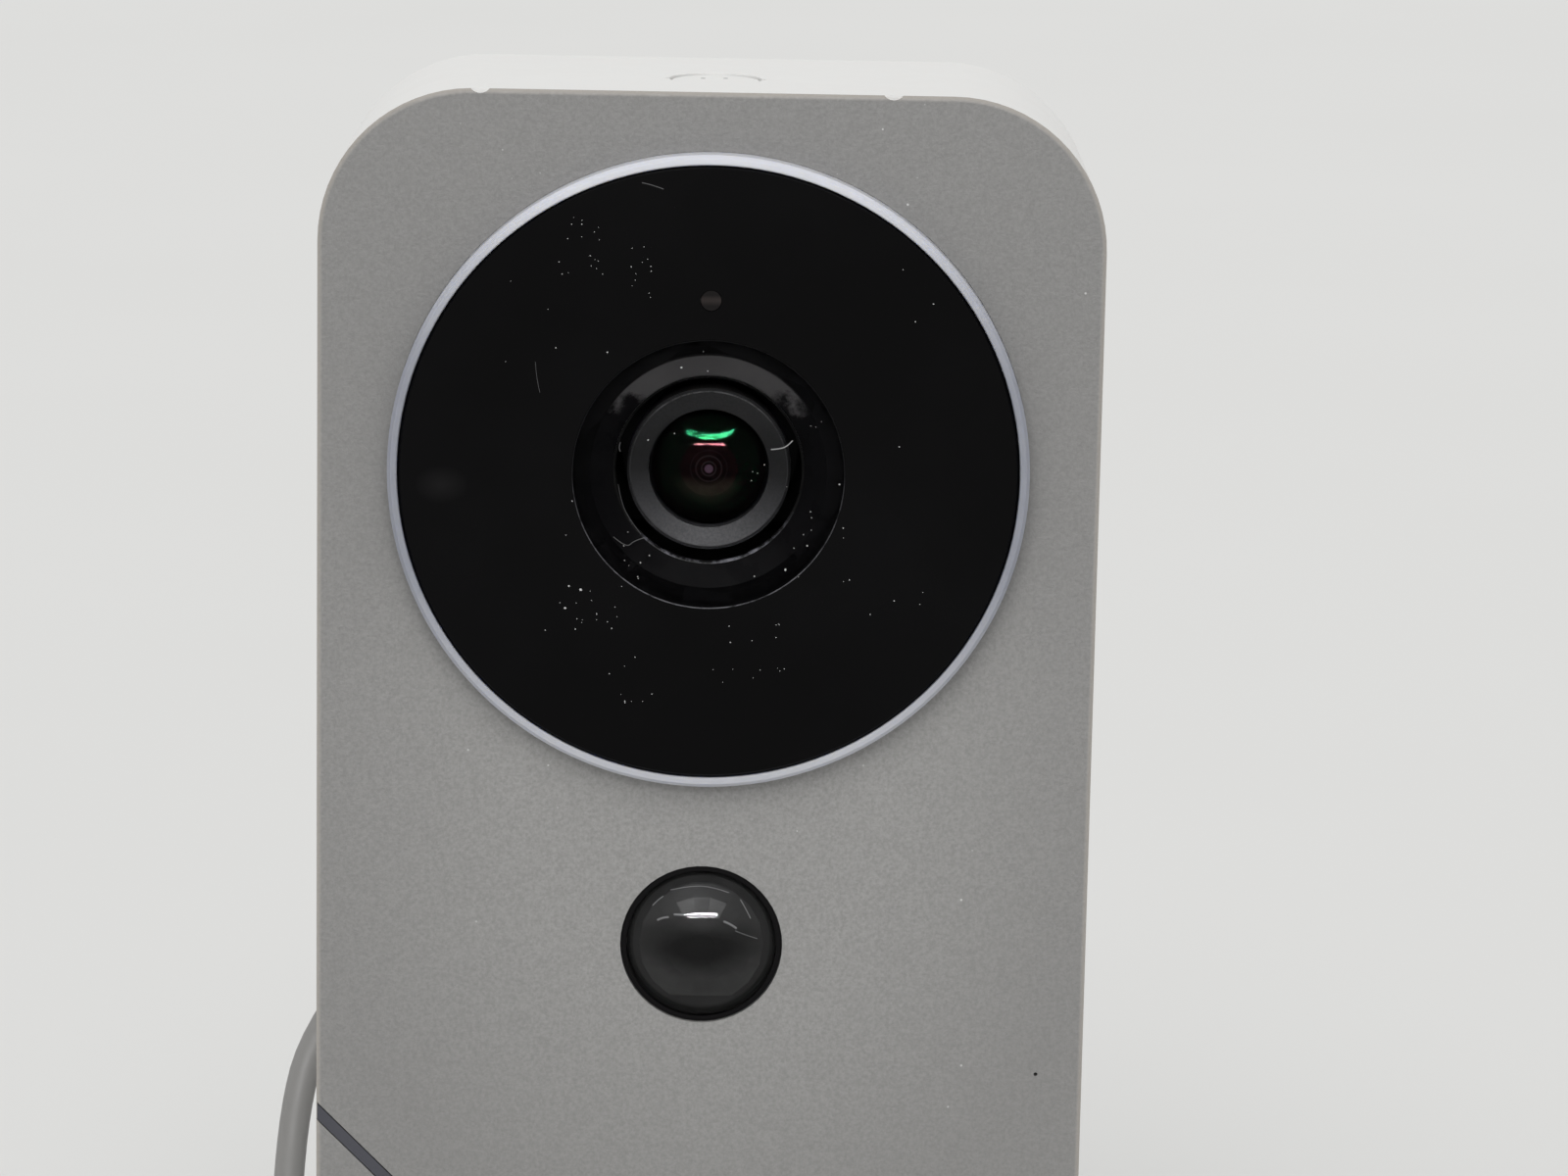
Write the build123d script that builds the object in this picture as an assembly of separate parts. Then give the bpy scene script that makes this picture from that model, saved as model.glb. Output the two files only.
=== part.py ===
from build123d import *
import math
import os

# Indoor security camera on a hinged stand, with its USB lead. Millimetres, +Z up, front towards -Y.
# The origin is the centre of the stand's underside. A depth is counted back from the cover's front
# plane, and a height on the body is counted from the body's bottom (up) or top (drop).

# Body outline
BODY_W = 66.0
BODY_H = 122.0
BODY_D = 31.0
BODY_R = 13.0
REAR_EDGE_R = 6.0
WALL = 2.0
BODY_GAP = 7.0

# Clearances
SEAT_GAP = 0.1
RUN_GAP = 0.3
PIN_GAP = 0.05
SCREW_GAP = 0.02

# Front cover with its lip, pry notches, microphone hole and snap tabs
COVER_LIP = 0.5
COVER_T = 2.2
COVER_EDGE_R = 0.35
NOTCH_R = 1.0
NOTCH_DEEP = 0.4
NOTCH_X = (-19.5, 14.9)
MIC_EDGE = 4.0
MIC_DROP = 84.4
MIC_HOLE_R = 0.17
TAB_W = 7.0
TAB_T = 1.2
TAB_L = 5.2
TAB_BARB = 0.6
TAB_BARB_L = 1.4
TAB_HIGH_DROP = 45.0
TAB_LOW_RISE = 7.4
TAB_END_OFFSET = 14.0

# Round window: black cover glass, light ring round it and lens window in its middle
LENS_DROP = 31.9
GLASS_R = 26.1
GLASS_T = 1.5
GLASS_EDGE = 0.25
RING_FACE = 0.88
RING_GAP = 0.03
RING_PROUD = 2.2
RING_SEAT = 1.2
RING_FOOT = 1.9
RING_LEDGE = 0.3
WINDOW_R = 11.45
WINDOW_T = 1.4
LIGHT_SENSOR_R = 0.85
LIGHT_SENSOR_UP = 14.8

# Lens trim cone, lens barrel and the glass in it
TRIM_MOUTH_IN = 1.5
TRIM_THROAT_R = 8.0
TRIM_THROAT_DEPTH = 0.3
TRIM_WALL = 0.7
TRIM_FLANGE = 1.0
TRIM_TAIL = 1.4
BARREL_FRONT = 0.9
BARREL_RIM = 0.45
BARREL_R = 6.0
BARREL_FLANGE_R = 6.9
BARREL_FLANGE_T = 2.0
BARREL_WALL = 1.0
FRONT_LENS_R = 5.03
FRONT_LENS_CROWN = 1.3
FRONT_LENS_SET_BACK = 0.15

# Lens holder, sensor board and the sliding filter carrier
HOLDER_WALL = 1.9
HOLDER_BOSS_WALL = 1.6
HOLDER_EDGE = 0.2
HOLDER_BOSS_L = 6.0
HOLDER_BASE_T = 4.6
SHUTTLE_W = 15.0
SHUTTLE_H = 8.4
SHUTTLE_T = 1.2
SHUTTLE_FRONT = 1.0
SHUTTLE_TRAVEL = 6.5
FILTER_W = 5.6
FILTER_T = 0.5
SENSOR_W = 7.4
SENSOR_H = 6.2
SENSOR_T = 1.2
SENSOR_BOARD_W = 30.0
BOARD_T = 1.2
COIL_DRIVE_W = 5.0
COIL_DRIVE_L = 11.0

# Ring light board
RING_BOARD_EDGE = 0.5
RING_BOARD_T = 1.0
RING_LAMPS = 12
RING_LAMP_H = 0.9
RING_LAMP_W = 2.0
RING_LAMP_L = 1.0
IR_LAMPS = 8
IR_LAMP_R = 1.4
IR_LAMP_ANGLE = 22.5

# Motion sensor behind its dome
DOME_DROP = 73.3
DOME_HOLE_R = 6.95
DOME_RIM = 0.45
DOME_RIM_DEPTH = 0.3
DOME_PROUD = 2.4
DOME_WALL = 0.8
DOME_FLANGE = 1.6
DOME_FLANGE_T = 1.0
MOTION_CAN_R = 4.6
MOTION_CAN_H = 2.6
MOTION_BOARD_W = 16.0

# Accent strip, 45 degrees from the left edge down to the middle of the bottom edge
ACCENT_W = 0.95
ACCENT_RAISED = 0.3
ACCENT_T = 0.42
ACCENT_PIN_R = 0.4
ACCENT_PINS = 3
ACCENT_LAMP_H = 1.0

# Inner frame
FRAME_DEPTH = 5.0
FRAME_T = 1.5
FRAME_INSET = 0.6
FRAME_HUB_WALL = 1.4
POST_R = 3.0
POST_EDGE = 10.0
POST_HIGH_DROP = 13.0
SHELF_W = 14.0
SHELF_T = 1.3
SCREW_R = 1.0
SCREW_HEAD_R = 1.9
SCREW_HEAD_T = 1.3
SCREW_L = 9.0
BOSS_R = 2.8
BOSS_L = 3.1
BOSS_PILOT_L = 2.6

# Main board and what is on it
BOARD_EDGE = 6.0
BOARD_UP = 28.0
BOARD_LAP = 2.9
BOARD_LOW_HOLE = 5.0
BOARD_HIGH_HOLE = 6.0
SHIELD_W = 24.0
SHIELD_H = 20.0
SHIELD_T = 2.0
SPREADER_W = 38.0
SPREADER_H = 26.0
SPREADER_T = 1.5
SPREADER_FIN = 2.5
USB_UP = 44.0
USB_W = 8.0
USB_H = 3.4
USB_SHELL = 0.35
USB_SET_BACK = 0.4
RESET_X = 14.0
RESET_W = 3.6
RESET_H = 3.0
RESET_L = 1.8
PINHOLE_R = 0.6

# Speaker and grille in the back
SPEAKER_R = 12.5
SPEAKER_T = 4.0
GASKET_T = 0.6
GRILLE_R = 11.5
GRILLE_FLANGE = 1.0
GRILLE_FLANGE_T = 0.8
GRILLE_SLOTS = 7
GRILLE_SLOT_W = 1.2
GRILLE_SLOT_PITCH = 2.7

# Microphone and antenna
MIC_W = 3.4
MIC_T = 1.0
MIC_BOOT_R = 1.6
ANTENNA_T = 0.4
ANTENNA_L = 34.0
ANTENNA_W = 9.0
ANTENNA_UP = 62.0
ANTENNA_DEPTH = 9.0

# Top button over its switch
BUTTON_DEPTH = 10.0
BUTTON_R = 3.95
BUTTON_GAP = 0.2
BUTTON_SUNK = 0.14
BUTTON_TRAVEL = 0.6
BUTTON_FLANGE = 1.0
BUTTON_FLANGE_T = 1.0
BUTTON_STEM_R = 1.8
BUTTON_STEM_L = 3.0
BUTTON_RELIEF_R = 0.35
SWITCH_W = 6.0
SWITCH_H = 3.5
SWITCH_PLUNGER_R = 1.6
SWITCH_PLUNGER_H = 0.6

# Hinge
PIVOT_BACK = 15.0
PIVOT_UP = 8.0
TILT_DEG = 20.0
PIN_R = 2.0
KNUCKLE_R = 5.4
NECK_W = 14.0
NECK_T = 9.0
EAR_T = 3.0
EAR_R = 5.2
WASHER_T = 0.5
WASHER_R = 4.6
YOKE_T = 2.2
YOKE_RISE = 15.5
YOKE_DROP = 5.0
YOKE_SCREW_X = 8.0
YOKE_SCREW_RISE = 12.0
YOKE_SCREW_L = 6.0

# Stand base
BASE_R = 37.0
BASE_H = 9.0
BASE_EDGE_R = 3.0
BASE_WALL = 2.0
BASE_LIFT = 0.8
PLATE_T = 1.5
FOOT_EDGE = 3.0
FOOT_W = 3.6
FOOT_SUNK = 0.5
BALLAST_EDGE = 2.0
BALLAST_IN_GAP = 1.5
NECK_FLANGE_R = 11.0
NECK_FLANGE_T = 1.8
NECK_SCREW_PCD = 9.0
NECK_SCREWS = 2
WALL_SCREW_PCD = 48.0
WALL_SCREWS = 3
WALL_HOLE_R = 2.1
WALL_SINK_R = 4.2

# Lead: its plug at the camera, the free stretch, the put-away coil, the tail and the far plug
CORD_D = 3.0
PLUG_W = 10.6
PLUG_H = 7.2
PLUG_L = 15.0
PLUG_TIP_W = 6.8
PLUG_TIP_H = 1.8
PLUG_TIP_L = 3.2
PLUG_GAP = 0.3
RELIEF_L = 10.0
RELIEF_R = 2.7
RELIEF_END_R = 1.9
RELIEF_RIBS = 4
COIL_X = 13.0
COIL_Y = 66.0
COIL_LIFT = 0.9
COIL_MEAN_R = 17.5
COIL_TURN_GAP = 1.1
COIL_LAYER_GAP = 0.7
COIL_LAYERS = 4
COIL_HALF_TURNS = 5
TIE_W = 7.0
TIE_T = 0.5
TIE_GAP = 0.3
USB_A_W = 12.0
USB_A_H = 4.5
USB_A_L = 12.0
USB_A_SHELL = 0.4
USB_A_GRIP_W = 15.6
USB_A_GRIP_H = 8.2
USB_A_GRIP_L = 20.0
USB_A_RELIEF_L = 7.0
FLOOR_GAP = 0.1

# Places worked out from the sizes above
PIVOT_DEPTH = BODY_D - PIVOT_BACK
BODY_Z = BASE_H + BODY_GAP
TOP_Z = BODY_Z + BODY_H
MID_Z = BODY_Z + BODY_H / 2
REAR_IN = BODY_D - WALL
PIVOT_Z = BODY_Z + PIVOT_UP
LENS_Z = TOP_Z - LENS_DROP
DOME_Z = TOP_Z - DOME_DROP
MIC_Z = TOP_Z - MIC_DROP
ACCENT_DROP = BODY_H - BODY_W / 2 - ACCENT_RAISED
USB_Z = BODY_Z + USB_UP
MIC_X = BODY_W / 2 - MIC_EDGE
POST_X = BODY_W / 2 - POST_EDGE
COVER_INSET = WALL + SEAT_GAP
RING_R = GLASS_R + RING_FACE
GLASS_BACK = GLASS_T - RING_PROUD
WINDOW_HOLE_R = WINDOW_R + SEAT_GAP
TRIM_MOUTH_R = WINDOW_R - TRIM_MOUTH_IN
HOLDER_W = SHUTTLE_W + SHUTTLE_TRAVEL + 2 * (RUN_GAP + HOLDER_WALL)
HOLDER_BOSS_R = BARREL_R + HOLDER_BOSS_WALL
HOLDER_H = 2 * (HOLDER_BOSS_R + HOLDER_EDGE)
RING_BOARD_OUT = GLASS_R - RING_FOOT - RING_BOARD_EDGE
RING_BOARD_IN = WINDOW_HOLE_R + TRIM_FLANGE + RING_BOARD_EDGE
FRAME_BACK = FRAME_DEPTH + FRAME_T
RING_BOARD_FRONT = GLASS_BACK + RING_LAMP_H + RUN_GAP
RING_BOARD_BACK = RING_BOARD_FRONT + RING_BOARD_T
BOARD_BACK = REAR_IN - BOSS_L
BOARD_FRONT = BOARD_BACK - BOARD_T
BOARD_LOW_Z = BODY_Z + BOARD_UP
BOARD_TOP_Z = LENS_Z - SENSOR_BOARD_W / 2 + BOARD_LAP
SHIELD_Z = (BOARD_LOW_Z + BOARD_TOP_Z) / 2
SPEAKER_Z = BOARD_TOP_Z + 1.0 + SPEAKER_R
SPEAKER_BACK = REAR_IN - GRILLE_FLANGE_T - GASKET_T
SPEAKER_FRONT = SPEAKER_BACK - SPEAKER_T
SENSOR_BOARD_BACK = SPEAKER_FRONT - SEAT_GAP
SENSOR_BOARD_FRONT = SENSOR_BOARD_BACK - BOARD_T
HOLDER_BACK = SENSOR_BOARD_FRONT
HOLDER_FRONT = HOLDER_BACK - HOLDER_BASE_T
BARREL_BACK = HOLDER_FRONT
SCREW_HEAD_BACK = BOARD_BACK + BOSS_PILOT_L - 0.2 - SCREW_L
DOME_R = DOME_HOLE_R - SEAT_GAP - DOME_RIM
BUTTON_Y = BUTTON_DEPTH - PIVOT_DEPTH
PLUG_FRONT = BODY_D + PLUG_GAP
CORD_EXIT_Y = PLUG_FRONT + PLUG_L + RELIEF_L - PIVOT_DEPTH
CORD_R = CORD_D / 2
COIL_PITCH = CORD_D + COIL_TURN_GAP
COIL_RISE = CORD_D + COIL_LAYER_GAP
COIL_SPREAD = COIL_HALF_TURNS * COIL_PITCH / 4
COIL_OUT_R = COIL_MEAN_R + COIL_SPREAD
COIL_IN_R = COIL_MEAN_R - COIL_SPREAD
COIL_Z = COIL_LIFT + CORD_R
COIL_TOP_Z = COIL_Z + (COIL_LAYERS - 1) * COIL_RISE
COIL_START_Y = COIL_Y - COIL_OUT_R
COIL_END_Y = COIL_Y + COIL_OUT_R
USB_A_Y = COIL_Y + 11.0
USB_A_Z = USB_A_GRIP_H / 2 + FLOOR_GAP

# The free stretch hangs from the camera's back down its left side and runs on the floor to the coil
CORD_ROUTE = [
    (0.0, CORD_EXIT_Y, USB_Z),
    (0.0, CORD_EXIT_Y + 11.0, USB_Z),
    (-7.0, 62.0, 58.8),
    (-20.5, 66.2, 54.4),
    (-29.6, 63.4, 45.7),
    (-38.9, 58.3, 34.3),
    (-40.9, 55.0, 26.2),
    (-41.5, 51.8, 12.2),
    (-31.2, 46.7, 2.9),
    (-18.2, 44.5, COIL_Z + 0.1),
    (-4.1, COIL_START_Y, COIL_Z),
    (COIL_X - CORD_D, COIL_START_Y, COIL_Z),
]

# The tail comes down from the coil's top turn to the plug that lies beside it
TAIL_ROUTE = [
    (COIL_X - CORD_D, COIL_END_Y, COIL_TOP_Z),
    (COIL_X - 13.0, COIL_END_Y, COIL_TOP_Z),
    (COIL_X - 25.0, USB_A_Y + 7.2, 8.6),
    (COIL_X - 36.0, USB_A_Y, USB_A_Z),
    (COIL_X - 46.0, USB_A_Y, USB_A_Z),
]


def face_at(depth):
    """Plane that faces forwards at a depth; its x is X and its y is Z."""
    return Plane(origin=(0, depth - PIVOT_DEPTH, 0), x_dir=(1, 0, 0), z_dir=(0, -1, 0))


def slab(shape, front, back):
    """Outline in X and Z, made solid from one depth back to another."""
    return extrude(face_at(front) * shape, amount=back - front, dir=(0, 1, 0))


def level(shape, low, high):
    """Outline in X and Y, made solid from one height up to another."""
    return extrude(Pos(0, 0, low) * shape, amount=high - low)


def polygon(points):
    return make_face(Polyline(*points, close=True))


def turned(profile, x, z):
    """Profile in radius and depth, turned about a front-to-back axis."""
    place = Pos(x, -PIVOT_DEPTH, z)
    return revolve(place * profile, axis=Axis((x, 0, z), (0, 1, 0)))


def turned_up(profile):
    """Profile in radius and height, turned about the stand's upright axis."""
    return revolve(Plane.XZ * profile, axis=Axis.Z)


def disc(x, z, radius, front, back):
    return slab(Pos(x, z) * Circle(radius), front, back)


def tube(x, z, outer, inner, front, back):
    return slab(Pos(x, z) * (Circle(outer) - Circle(inner)), front, back)


def outline(inset=0.0):
    """The body's rounded rectangle, drawn in by an inset."""
    shape = RectangleRounded(BODY_W - 2 * inset, BODY_H - 2 * inset, BODY_R - inset)
    return Pos(0, MID_Z) * shape


def ring_places(count, radius, start=0.0):
    """Centres on a circle round the lens axis, with the angle of each."""
    for k in range(count):
        angle = start + 360.0 * k / count
        turn = math.radians(angle)
        yield radius * math.cos(turn), LENS_Z + radius * math.sin(turn), angle


def board_post_places():
    """Centres of the four posts that go through the main board."""
    for z in (BOARD_LOW_Z + BOARD_LOW_HOLE, BOARD_TOP_Z - BOARD_HIGH_HOLE):
        for x in (-POST_X, POST_X):
            yield x, z


def top_post_places():
    """Centres of the two posts above the main board."""
    for x in (-POST_X, POST_X):
        yield x, TOP_Z - POST_HIGH_DROP


def post_places():
    return list(board_post_places()) + list(top_post_places())


def yoke_screw_places():
    for x in (-YOKE_SCREW_X, YOKE_SCREW_X):
        yield x, PIVOT_Z + YOKE_SCREW_RISE


def tab_places():
    """Turn about Y, half extent and offset of each snap tab: two a side, two at each end."""
    for z in (TOP_Z - TAB_HIGH_DROP, MIC_Z + TAB_LOW_RISE):
        yield 0, BODY_W / 2, z - MID_Z
        yield 180, BODY_W / 2, MID_Z - z
    for turn in (-90, 90):
        yield turn, BODY_H / 2, TAB_END_OFFSET
        yield turn, BODY_H / 2, -TAB_END_OFFSET


def at_tabs(profile_of, width):
    """A profile in distance from the middle and depth, made a bar at every tab."""
    bars = []
    for turn, half, offset in tab_places():
        face = Pos(0, -PIVOT_DEPTH, offset - width / 2) * polygon(profile_of(half))
        bar = extrude(face, amount=width, dir=(0, 0, 1))
        bars.append(Pos(0, 0, MID_Z) * Rot(0, turn, 0) * bar)
    return bars


def tab_profile(half):
    """Snap tab: a blade with a barb that hooks into the housing wall."""
    outer = half - COVER_INSET
    inner = outer - TAB_T
    end = COVER_T + TAB_L
    return [
        (inner, COVER_T - COVER_LIP),
        (outer, COVER_T - COVER_LIP),
        (outer, end - TAB_BARB_L),
        (outer + TAB_BARB, end - TAB_BARB_L + 0.3),
        (outer, end),
        (inner, end),
    ]


def pocket_profile(half):
    """Pocket in the housing wall that takes a tab's barb."""
    inner = half - WALL - SEAT_GAP
    outer = half - WALL + TAB_BARB + SEAT_GAP
    end = COVER_T + TAB_L
    return [
        (inner, end - TAB_BARB_L - SEAT_GAP),
        (outer, end - TAB_BARB_L - SEAT_GAP),
        (outer, end + SEAT_GAP),
        (inner, end + SEAT_GAP),
    ]


def frame_notch_profile(half):
    """Room in the inner frame for a snap tab to pass."""
    inner = half - COVER_INSET - TAB_T - RUN_GAP
    return [
        (inner, FRAME_DEPTH - 1.0),
        (half, FRAME_DEPTH - 1.0),
        (half, FRAME_BACK + 1.0),
        (inner, FRAME_BACK + 1.0),
    ]


def accent_place(along):
    """Point on the accent strip's centre line, measured from the body's left edge."""
    step = along / math.sqrt(2)
    return -BODY_W / 2 + step, TOP_Z - ACCENT_DROP - step


def accent_band(width, reach):
    """Band along the strip's centre line, kept inside the body's outline."""
    x, z = accent_place(BODY_H / 2)
    band = Pos(x, z) * Rot(0, 0, -45) * Rectangle(2 * BODY_H, width)
    return band & outline(reach)


def accent_pin_places():
    """Pin centres, evenly spaced over the strip's length from the left edge to the bottom edge."""
    length = (BODY_H - ACCENT_DROP) * math.sqrt(2)
    for k in range(ACCENT_PINS):
        yield accent_place(length * (k + 0.5) / ACCENT_PINS)


def accent_pins(radius, front, back):
    return [disc(x, z, radius, front, back) for x, z in accent_pin_places()]


def front_cover():
    """Flat cover: thin lip over the housing's edge, thicker plate inside it, eight snap tabs."""
    lip = slab(outline(), 0, COVER_LIP)
    rim = lip.edges().group_by(Axis.Y)[0]
    lip = fillet(rim, COVER_EDGE_R)
    cover = lip + slab(outline(COVER_INSET), COVER_LIP, COVER_T)
    for tab in at_tabs(tab_profile, TAB_W):
        cover += tab
    cover -= disc(0, LENS_Z, RING_R + RING_GAP, -1, RING_SEAT)
    cover -= disc(0, LENS_Z, RING_BOARD_OUT + SEAT_GAP, -1, COVER_T + 1)
    cover -= disc(0, DOME_Z, DOME_HOLE_R, -1, COVER_T + 1)
    for x in NOTCH_X:
        cover -= disc(x, TOP_Z + NOTCH_R - NOTCH_DEEP, NOTCH_R, -1, COVER_LIP)
    cover -= slab(accent_band(ACCENT_W + 2 * SEAT_GAP, -1.0), -1, ACCENT_T)
    for pin in accent_pins(ACCENT_PIN_R + SEAT_GAP, -1, COVER_T + 1):
        cover -= pin
    return cover - disc(MIC_X, MIC_Z, MIC_HOLE_R, -1, COVER_T + 1)


def rear_housing():
    """Deep moulded shell with its button hole, back openings, hinge slot, pockets and bosses."""
    outer = slab(outline(), COVER_LIP, BODY_D)
    outer = fillet(outer.edges().group_by(Axis.Y)[-1], REAR_EDGE_R)
    inner = slab(outline(WALL), COVER_LIP - 1, REAR_IN)
    inner = fillet(inner.edges().group_by(Axis.Y)[-1], REAR_EDGE_R - WALL)
    shell = outer - inner
    for x, z in post_places() + list(yoke_screw_places()):
        shell += disc(x, z, BOSS_R, BOARD_BACK, REAR_IN + 0.5)
        shell -= disc(x, z, SCREW_R + SCREW_GAP, BOARD_BACK - 1, BOARD_BACK + BOSS_PILOT_L)
    for pocket in at_tabs(pocket_profile, TAB_W + 2 * SEAT_GAP):
        shell -= pocket
    shell -= Pos(0, BUTTON_Y, TOP_Z) * Cylinder(BUTTON_R, 4 * WALL)
    for side in (-1, 1):
        shell -= Pos(side * BUTTON_R, BUTTON_Y, TOP_Z) * Cylinder(BUTTON_RELIEF_R, 4 * WALL)
    socket_way = RectangleRounded(USB_W + 2 * RUN_GAP, USB_H + 2 * RUN_GAP, 0.8)
    shell -= slab(Pos(0, USB_Z) * socket_way, REAR_IN - 1, BODY_D + 1)
    shell -= disc(0, SPEAKER_Z, GRILLE_R + SEAT_GAP, REAR_IN - 1, BODY_D + 1)
    shell -= disc(RESET_X, USB_Z, PINHOLE_R, REAR_IN - 1, BODY_D + 1)
    return shell - level(hinge_slot(), BODY_Z - 1, BODY_Z + WALL + 0.2)


def hinge_slot():
    """Slot in the body's underside, long enough for the neck at both tilt limits."""
    lean = math.radians(TILT_DEG)
    half = NECK_T / 2 / math.cos(lean) + PIVOT_UP * math.tan(lean) + 2 * RUN_GAP
    return RectangleRounded(NECK_W + 4 * RUN_GAP, 2 * half, 1.5)


def cover_glass():
    """Black disc with a bevelled rim, a window hole in its middle and a light sensor hole."""
    front = -RING_PROUD
    profile = [
        (WINDOW_HOLE_R, GLASS_BACK),
        (WINDOW_HOLE_R, front + GLASS_EDGE),
        (WINDOW_HOLE_R + GLASS_EDGE, front),
        (GLASS_R - GLASS_EDGE, front),
        (GLASS_R, front + GLASS_EDGE),
        (GLASS_R, GLASS_BACK),
    ]
    glass = turned(polygon(profile), 0, LENS_Z)
    hole = LIGHT_SENSOR_R + PIN_GAP
    return glass - disc(0, LENS_Z + LIGHT_SENSOR_UP, hole, front - 1, GLASS_BACK + 1)


def lens_window():
    """Clear disc in the cover glass, set back a little from its face."""
    front = GLASS_BACK - WINDOW_T
    profile = [
        (0, front),
        (WINDOW_R - GLASS_EDGE, front),
        (WINDOW_R, front + GLASS_EDGE),
        (WINDOW_R, GLASS_BACK),
        (0, GLASS_BACK),
    ]
    return turned(polygon(profile), 0, LENS_Z)


def light_ring():
    """Translucent ring round the glass, with the foot that the glass rests on."""
    front = -RING_PROUD
    inner = GLASS_R + PIN_GAP
    profile = [
        (inner, front + 0.1),
        (inner + 0.1, front),
        (RING_R - 0.3, front),
        (RING_R, front + 0.3),
        (RING_R, RING_SEAT),
        (RING_R - RING_FACE - RING_FOOT, RING_SEAT),
        (RING_R - RING_FACE - RING_FOOT, RING_SEAT - RING_LEDGE),
        (inner - 1.0, GLASS_BACK),
        (inner, GLASS_BACK),
    ]
    return turned(polygon(profile), 0, LENS_Z)


def lens_trim_cone():
    """Black funnel behind the window, from its mouth down to the lens barrel."""
    mouth = GLASS_BACK
    profile = [
        (TRIM_MOUTH_R, mouth),
        (WINDOW_HOLE_R + TRIM_FLANGE, mouth),
        (WINDOW_HOLE_R + TRIM_FLANGE, mouth + TRIM_WALL),
        (TRIM_MOUTH_R + TRIM_WALL, mouth + TRIM_WALL),
        (TRIM_THROAT_R + TRIM_WALL, TRIM_THROAT_DEPTH + TRIM_WALL),
        (TRIM_THROAT_R + TRIM_WALL, TRIM_THROAT_DEPTH + TRIM_TAIL),
        (TRIM_THROAT_R, TRIM_THROAT_DEPTH + TRIM_TAIL),
        (TRIM_THROAT_R, TRIM_THROAT_DEPTH),
    ]
    return turned(polygon(profile), 0, LENS_Z)


def lens_barrel():
    """Barrel with a flange that slopes down to the front glass, and stepped bores behind it."""
    seat = FRONT_LENS_R + PIN_GAP
    bore = BARREL_R - BARREL_WALL
    flange_back = BARREL_FRONT + BARREL_FLANGE_T
    profile = [
        (seat, BARREL_FRONT),
        (BARREL_FLANGE_R - 0.2, BARREL_FRONT - BARREL_RIM),
        (BARREL_FLANGE_R, BARREL_FRONT - BARREL_RIM + 0.2),
        (BARREL_FLANGE_R, flange_back),
        (BARREL_R, flange_back),
        (BARREL_R, BARREL_BACK),
        (bore - 2.0, BARREL_BACK),
        (bore - 2.0, BARREL_BACK - 1.0),
        (bore, BARREL_BACK - 1.0),
        (bore, flange_back + 2.0),
        (bore - 0.8, flange_back + 2.0),
        (bore - 0.8, flange_back + 1.0),
        (seat, flange_back + 1.0),
    ]
    return turned(polygon(profile), 0, LENS_Z)


def crowned_disc(radius, front, back, crown):
    """Round glass with a domed front, in radius and depth about the lens axis."""
    edge = front + crown
    rise = crown * 0.73
    dome = ThreePointArc((0, front), (radius / 2, edge - rise), (radius, edge))
    sides = Polyline((radius, edge), (radius, back), (0, back), (0, front))
    return turned(make_face([dome, sides]), 0, LENS_Z)


def front_lens():
    front = BARREL_FRONT - FRONT_LENS_SET_BACK - FRONT_LENS_CROWN
    return crowned_disc(FRONT_LENS_R, front, BARREL_FRONT + BARREL_FLANGE_T + 1.0, FRONT_LENS_CROWN)


def inner_lenses():
    """Two smaller glasses further back in the barrel."""
    radius = BARREL_R - BARREL_WALL - PIN_GAP
    start = BARREL_FRONT + BARREL_FLANGE_T + 2.2
    space = BARREL_BACK - 1.2 - start
    first = crowned_disc(radius, start, start + space * 0.35, 0.8)
    second = crowned_disc(radius, start + space * 0.65, start + space, 0.8)
    return Compound([first.solid(), second.solid()])


def shuttle_cavity(gap):
    """Room in the holder for the filter carrier over its whole travel."""
    width = SHUTTLE_W + SHUTTLE_TRAVEL + 2 * gap
    shape = Pos(0, LENS_Z) * Rectangle(width, SHUTTLE_H + 2 * gap)
    front = HOLDER_FRONT + SHUTTLE_FRONT
    return slab(shape, front - gap, front + SHUTTLE_T + gap)


def lens_holder():
    """Holder on the sensor board: a round boss for the barrel and a slot for the filter carrier."""
    base = slab(Pos(0, LENS_Z) * RectangleRounded(HOLDER_W, HOLDER_H, 1.0), HOLDER_FRONT, HOLDER_BACK)
    base += disc(0, LENS_Z, HOLDER_BOSS_R, HOLDER_FRONT - HOLDER_BOSS_L, HOLDER_FRONT + 0.5)
    bore = BARREL_R + SCREW_GAP
    base -= disc(0, LENS_Z, bore, HOLDER_FRONT - HOLDER_BOSS_L - 1, HOLDER_FRONT)
    base -= disc(0, LENS_Z, BARREL_R - BARREL_WALL - 2.0, HOLDER_FRONT - 1, HOLDER_BACK + 1)
    base -= shuttle_cavity(RUN_GAP)
    well = Pos(0, LENS_Z) * Rectangle(SENSOR_W + 1.0, SENSOR_H + 1.0)
    return base - slab(well, HOLDER_BACK - SENSOR_T - 0.4, HOLDER_BACK + 1)


def shuttle_window_places():
    """Centres of the carrier's two windows; the second is on the lens axis at rest."""
    for k in (-1, 0):
        yield k * SHUTTLE_TRAVEL, LENS_Z


def filter_carrier():
    """Sliding plate with two windows, one for the day filter and one for the night glass."""
    middle = -SHUTTLE_TRAVEL / 2
    front = HOLDER_FRONT + SHUTTLE_FRONT
    back = front + SHUTTLE_T
    hole = FILTER_W + 2 * SEAT_GAP
    plate = slab(Pos(middle, LENS_Z) * RectangleRounded(SHUTTLE_W, SHUTTLE_H, 0.6), front, back)
    for x, z in shuttle_window_places():
        plate -= slab(Pos(x, z) * Rectangle(hole, hole), back - FILTER_T, back + 1)
        plate -= disc(x, z, FILTER_W / 2 - 0.5, front - 1, back)
    return plate


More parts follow.
